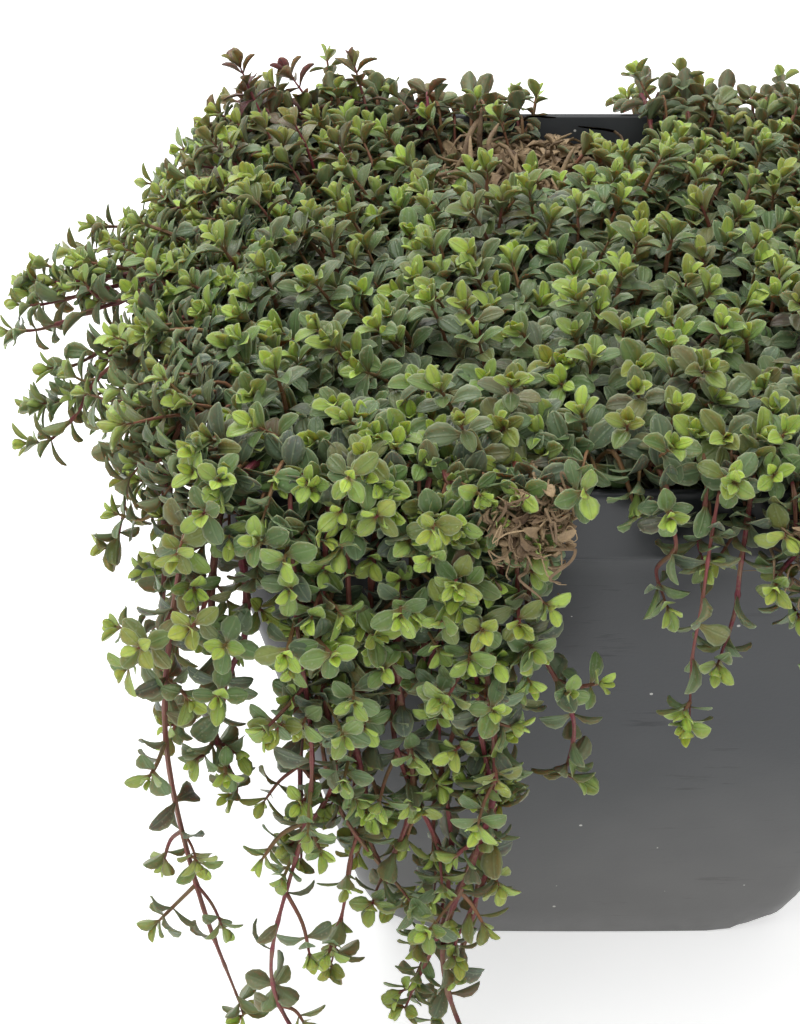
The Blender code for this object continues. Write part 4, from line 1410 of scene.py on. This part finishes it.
@dataclass
class Mat:
    """The mat of upright shoots that covers the compost and leans out over the rim.

    storeys gives, for the young shoots on top and the old growth under them, the spacing of their
    tips on a loosened six-sided grid, how far below the top they end, and their youngest leaf's
    age. Each shoot belongs to the nearest CAD clump.
    """

    pot: Pot
    compost: Compost
    rng: np.random.Generator
    storeys: tuple[tuple[float, float, float], ...] = ((5.7 * MM, 0.0, 0.0), (5.0 * MM, 5.0 * MM, 0.48))
    hidden_rows: tuple[float, ...] = (0.0, 0.22, 0.48, 0.74, 0.93)
    looseness: float = 1.6 * MM
    rise: float = 6.6 * MM
    overhang: dict[Side, float] = field(
        default_factory=lambda: {Side.FRONT: 3.0 * MM, Side.LEFT: 12.0 * MM, Side.RIGHT: 7.0 * MM, Side.BACK: 5.0 * MM}
    )
    cascade: float = 5.0 * MM

    def tips(self, spacing: float) -> Array:
        """Where shoots end, seen from above."""
        rng = self.rng
        half = self.pot.half
        reach = half + 16.0 * MM
        rows = int(2.0 * reach / (spacing * 0.87))
        row, column = np.meshgrid(np.arange(rows), np.arange(int(2.0 * reach / spacing)), indexing="ij")
        x = (column + 0.5 * (row % 2)) * spacing - reach
        y = row * spacing * 0.87 - reach
        spots = np.stack([x.ravel(), y.ravel()], axis=1)
        spots += rng.normal(0.0, 1.0, spots.shape) * self.looseness
        x, y = spots.T
        out = self.overhang
        front = out[Side.FRONT] + self.cascade * (1.0 - ease(x, -20.0 * MM, -14.0 * MM))
        front = front + 0.5 * self.cascade * ease(x, 4.0 * MM, 9.0 * MM)
        inside = (x > -half - out[Side.LEFT] * (1.0 - 0.35 * ease(y, 0.0, 50.0 * MM))) & (x < half + out[Side.RIGHT])
        inside &= (y > -half - front) & (y < half + out[Side.BACK])
        corner = np.abs(spots).min(axis=1) + np.abs(spots).max(axis=1) < 2.0 * half + 5.0 * MM
        thin = rng.random(len(spots)) < 0.10 + 0.90 * ease(self.compost.away(x, y), 0.75, 1.15)
        open_rim = (y > half - 7.0 * MM) & (np.abs(x - 3.0 * MM) < 14.0 * MM)
        thin &= ~open_rim | (rng.random(len(spots)) < 0.12)
        return spots[inside & corner & thin]

    def heights(self, spots: Array) -> Array:
        """The height of each tip: a loose dome, low at the back but for a few tall sprigs."""
        rng = self.rng
        x, y = spots.T
        outside = np.maximum(np.abs(x), np.abs(y)) - self.pot.half
        hills = 1.6 * MM * waves(x, y, 8, 45.0 * MM) + rng.normal(0.0, 1.9 * MM, len(x))
        low_back = 4.2 * MM * ease(y, 5.0 * MM, 46.0 * MM)
        high_left = 2.0 * MM * ease(y - x, 40.0 * MM, 95.0 * MM)
        sprigs = (rng.random(len(x)) < 0.09) * ease(y, 30.0 * MM, 42.0 * MM) * rng.uniform(3.0, 9.0, len(x)) * MM
        slope = np.where(x < -self.pot.half, 0.55, 1.05)
        droop = slope * np.maximum(0.0, outside + 1.0 * MM)
        dip = 4.0 * MM * (1.0 - ease(self.compost.away(x, y), 0.7, 2.0))
        return self.pot.height + self.rise + hills + high_left + sprigs - low_back - droop - dip

    def shoots(self, spacing: float, below: float) -> Stems:
        """The shoots: up from the compost, over the rim where they must, and out to their tips."""
        rng = self.rng
        spots = self.tips(spacing)
        count = len(spots)
        high = np.maximum(self.heights(spots) - below, self.pot.compost_top + 2.0 * MM - below)
        limit = self.pot.half - 7.0 * MM
        pull = rng.uniform(0.86, 0.97, (count, 1))
        foot = np.clip(spots * pull + rng.normal(0.0, 1.9, (count, 2)) * MM, -limit, limit)
        spread = np.abs(spots).max(axis=1)
        edge = ease(spread, self.pot.half - 7.0 * MM, self.pot.half + 1.0 * MM)
        travel = spots - foot
        ground = self.pot.compost_top - 1.0 * MM
        top = self.pot.height + rng.uniform(2.0, 4.5, count) * MM
        second = ground + 0.45 * (high - ground) * (1.0 - edge) + 0.55 * (top - ground) * edge
        third = (ground + 0.78 * (high - ground)) * (1.0 - edge) + top * edge
        rows = ((0.0, np.full(count, ground)), (0.10, second), (0.50, third), (1.0, high))
        knots = [np.column_stack([foot + travel * share, level]) for share, level in rows]
        level = np.column_stack([-travel[:, 1], travel[:, 0], np.zeros(count)])
        beside = unit(level + rng.normal(0.0, 1e-4, (count, 3)) * (1.0, 1.0, 0.0))
        back_left = ease(spots[:, 1] - 0.6 * spots[:, 0], 20.0 * MM, 75.0 * MM)
        tall = ease(high, self.pot.height + 5.0 * MM, self.pot.height + 10.0 * MM)
        flushed = (rng.random(count) < 0.12 + 0.40 * back_left) * rng.uniform(0.25, 0.8, count)
        red_tops = 0.45 * tall * (0.3 + 0.7 * back_left)
        blush = np.clip(rng.beta(1.2, 11.0, count) + flushed * (0.15 + back_left) + red_tops, 0.0, 1.0)
        return Stems(
            smooth_curves(np.stack(knots, axis=1), 16),
            beside,
            rng.uniform(0.24, 0.36, count) * MM,
            np.full(count, 0.85),
            # Tint rises towards the back: painted light, making the back shoots' leaves and stems warmer and lighter
            # as if lit from behind.
            np.clip(rng.normal(0.5, 0.2, count) + 0.22 * ease(spots[:, 1], 5.0 * MM, 45.0 * MM), 0.0, 1.0),
            blush,
        )

    def build(
        self, names: Sequence[str], shape: LeafShape, leaf: Material, stem: Material
    ) -> list[Object]:
        """Two pieces for each clump: its stems and its leaves."""
        rng = self.rng
        centres = np.array([np.mean(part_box(name), axis=0)[:2] for name in names])
        stems: list[list[Skin]] = [[] for _ in names]
        leaves: list[list[Skin]] = [[] for _ in names]
        for spacing, below, youngest in self.storeys:
            shoots = self.shoots(spacing, below)
            ends = shoots.points[:, -1, :2]
            owner = np.argmin(np.linalg.norm(ends[:, None] - centres[None], axis=2), axis=1)
            look = LeafHabit(youngest=youngest)
            blade = LeafShape(rows=self.hidden_rows) if below else shape
            for number in range(len(names)):
                mine = owner == number
                if not mine.any():
                    continue
                group = shoots.kept(mine)
                bare = group.lengths[:, -1] * rng.uniform(0.12, 0.3, int(mine.sum()))
                green = look.dress(group, rng, bare, UP)
                group.blush = np.clip(group.blush + 0.40, 0.0, 1.0)
                stems[number].append(group.skin(6))
                leaves[number].append(blade.skin(green.outside(self.pot)))
        pieces = []
        for name, wood, green in zip(names, stems, leaves):
            made = [
                Skin.joined(wood).build(f"{name}_stems", stem),
                Skin.joined(green).build(f"{name}_leaves", leaf),
            ]
            for piece in made:
                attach(piece, "root")
                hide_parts(name)
            pieces += made
        return pieces


# ---------------------------------------------------------------------------------------- studio


@dataclass(frozen=True)
class Studio:
    """The floor, the light and the camera."""

    floor_size: float = 4.0
    lens: float = 64.77
    camera_place: tuple[float, float, float] = (-0.02859, -0.22756, 0.22804)
    camera_pitch: float = 53.23
    sky: float = 0.58
    glow: float = 0.55

    def floor(self) -> Object:
        """A plain pale table top."""
        white = rgba(0.93, 0.93, 0.93)
        look = {"Base_Color": white, "Emission_Color": white, "Emission_Strength": self.glow}
        material = Finish("table").new(Roughness=0.9, **look)[0]
        half = self.floor_size / 2.0
        mesh = bpy.data.meshes.new("table")
        corners = [(-half, -half, 0.0), (half, -half, 0.0), (half, half, 0.0), (-half, half, 0.0)]
        mesh.from_pydata(corners, [], [(0, 1, 2, 3)])
        mesh.materials.append(material)
        table = bpy.data.objects.new("table", mesh)
        bpy.context.scene.collection.objects.link(table)
        return table

    def softbox(self, name: str, place: Sequence[float], size: float, power: float) -> None:
        """A square lamp that faces the middle of the pot."""
        lamp = bpy.data.lights.new(name, "AREA")
        lamp.size = size
        lamp.energy = power
        made = bpy.data.objects.new(name, lamp)
        bpy.context.scene.collection.objects.link(made)
        made.location = place
        aim = unit(np.array(place) - np.array([0.0, 0.0, 0.07]))
        made.rotation_euler = (math.acos(aim[2]), 0.0, math.atan2(aim[1], aim[0]) + QUARTER_TURN)

    def build(self) -> None:
        """Sets up the world, the lamps and the camera."""
        scene = bpy.context.scene
        world = bpy.data.worlds.new("studio")
        world.use_nodes = True
        world.node_tree.nodes["Background"].inputs[0].default_value = rgba(1.0, 1.0, 1.0)
        world.node_tree.nodes["Background"].inputs[1].default_value = self.sky
        scene.world = world
        scene.view_settings.view_transform = "Standard"
        self.floor()
        self.softbox("overhead", (-0.12, -0.05, 1.1), 1.0, 8.0)
        self.softbox("window", (-0.35, 0.85, 0.75), 0.7, 6.0)
        camera = bpy.data.cameras.new("camera")
        camera.sensor_width = 36.0
        camera.lens = self.lens
        camera.clip_start = 0.01
        made = bpy.data.objects.new("camera", camera)
        scene.collection.objects.link(made)
        made.location = self.camera_place
        made.rotation_euler = (math.radians(self.camera_pitch), 0.0, 0.0)
        scene.camera = made


# ------------------------------------------------------------------------------------------ main


def report(pieces: Sequence[Object]) -> int:
    """Logs each piece's name and faces, and gives their triangles in all."""
    total = 0
    for piece in pieces:
        corners = len(piece.data.loops)
        triangles = corners - 2 * len(piece.data.polygons)
        total += triangles
        log.info("%s: %d triangles", piece.name, triangles)
    return total


def main() -> None:
    """Builds the pot, the compost, the trailing plants and the mat, and sets the stage."""
    logging.basicConfig(level=logging.INFO, format="%(name)s: %(message)s")
    Studio().build()
    pot = Pot()
    compost = Compost(pot)
    shape = LeafShape()
    leaf, stem, dry = LeafFinish().make(), StemFinish().make(), DryFinish().make()
    pieces = [pot.build(PotFinish())]
    pieces += compost.build(np.random.default_rng(SEED), shape, dry)
    nodes = sorted(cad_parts)
    trailing = [name for name in nodes if name.startswith("trailing_stem")]
    dry_names = [name for name in nodes if name.startswith("dry_stem")]
    for number, (name, trail) in enumerate(zip(trailing, TRAILS)):
        plant = TrailingPlant(pot, trail, np.random.default_rng(SEED + 10 + number))
        pieces += plant.build(name, shape, leaf, stem)
    for number, (name, trail) in enumerate(zip(dry_names, DRY_TRAILS)):
        pieces += DryTuft(pot, trail, np.random.default_rng(SEED + 60 + number)).build(name, shape, dry)
    mat = Mat(pot, compost, np.random.default_rng(SEED + 90))
    pieces += mat.build([name for name in nodes if name.startswith("clump")], shape, leaf, stem)
    log.info("%d pieces, %d triangles", len(pieces), report(pieces))


if __name__ == "__main__":
    main()
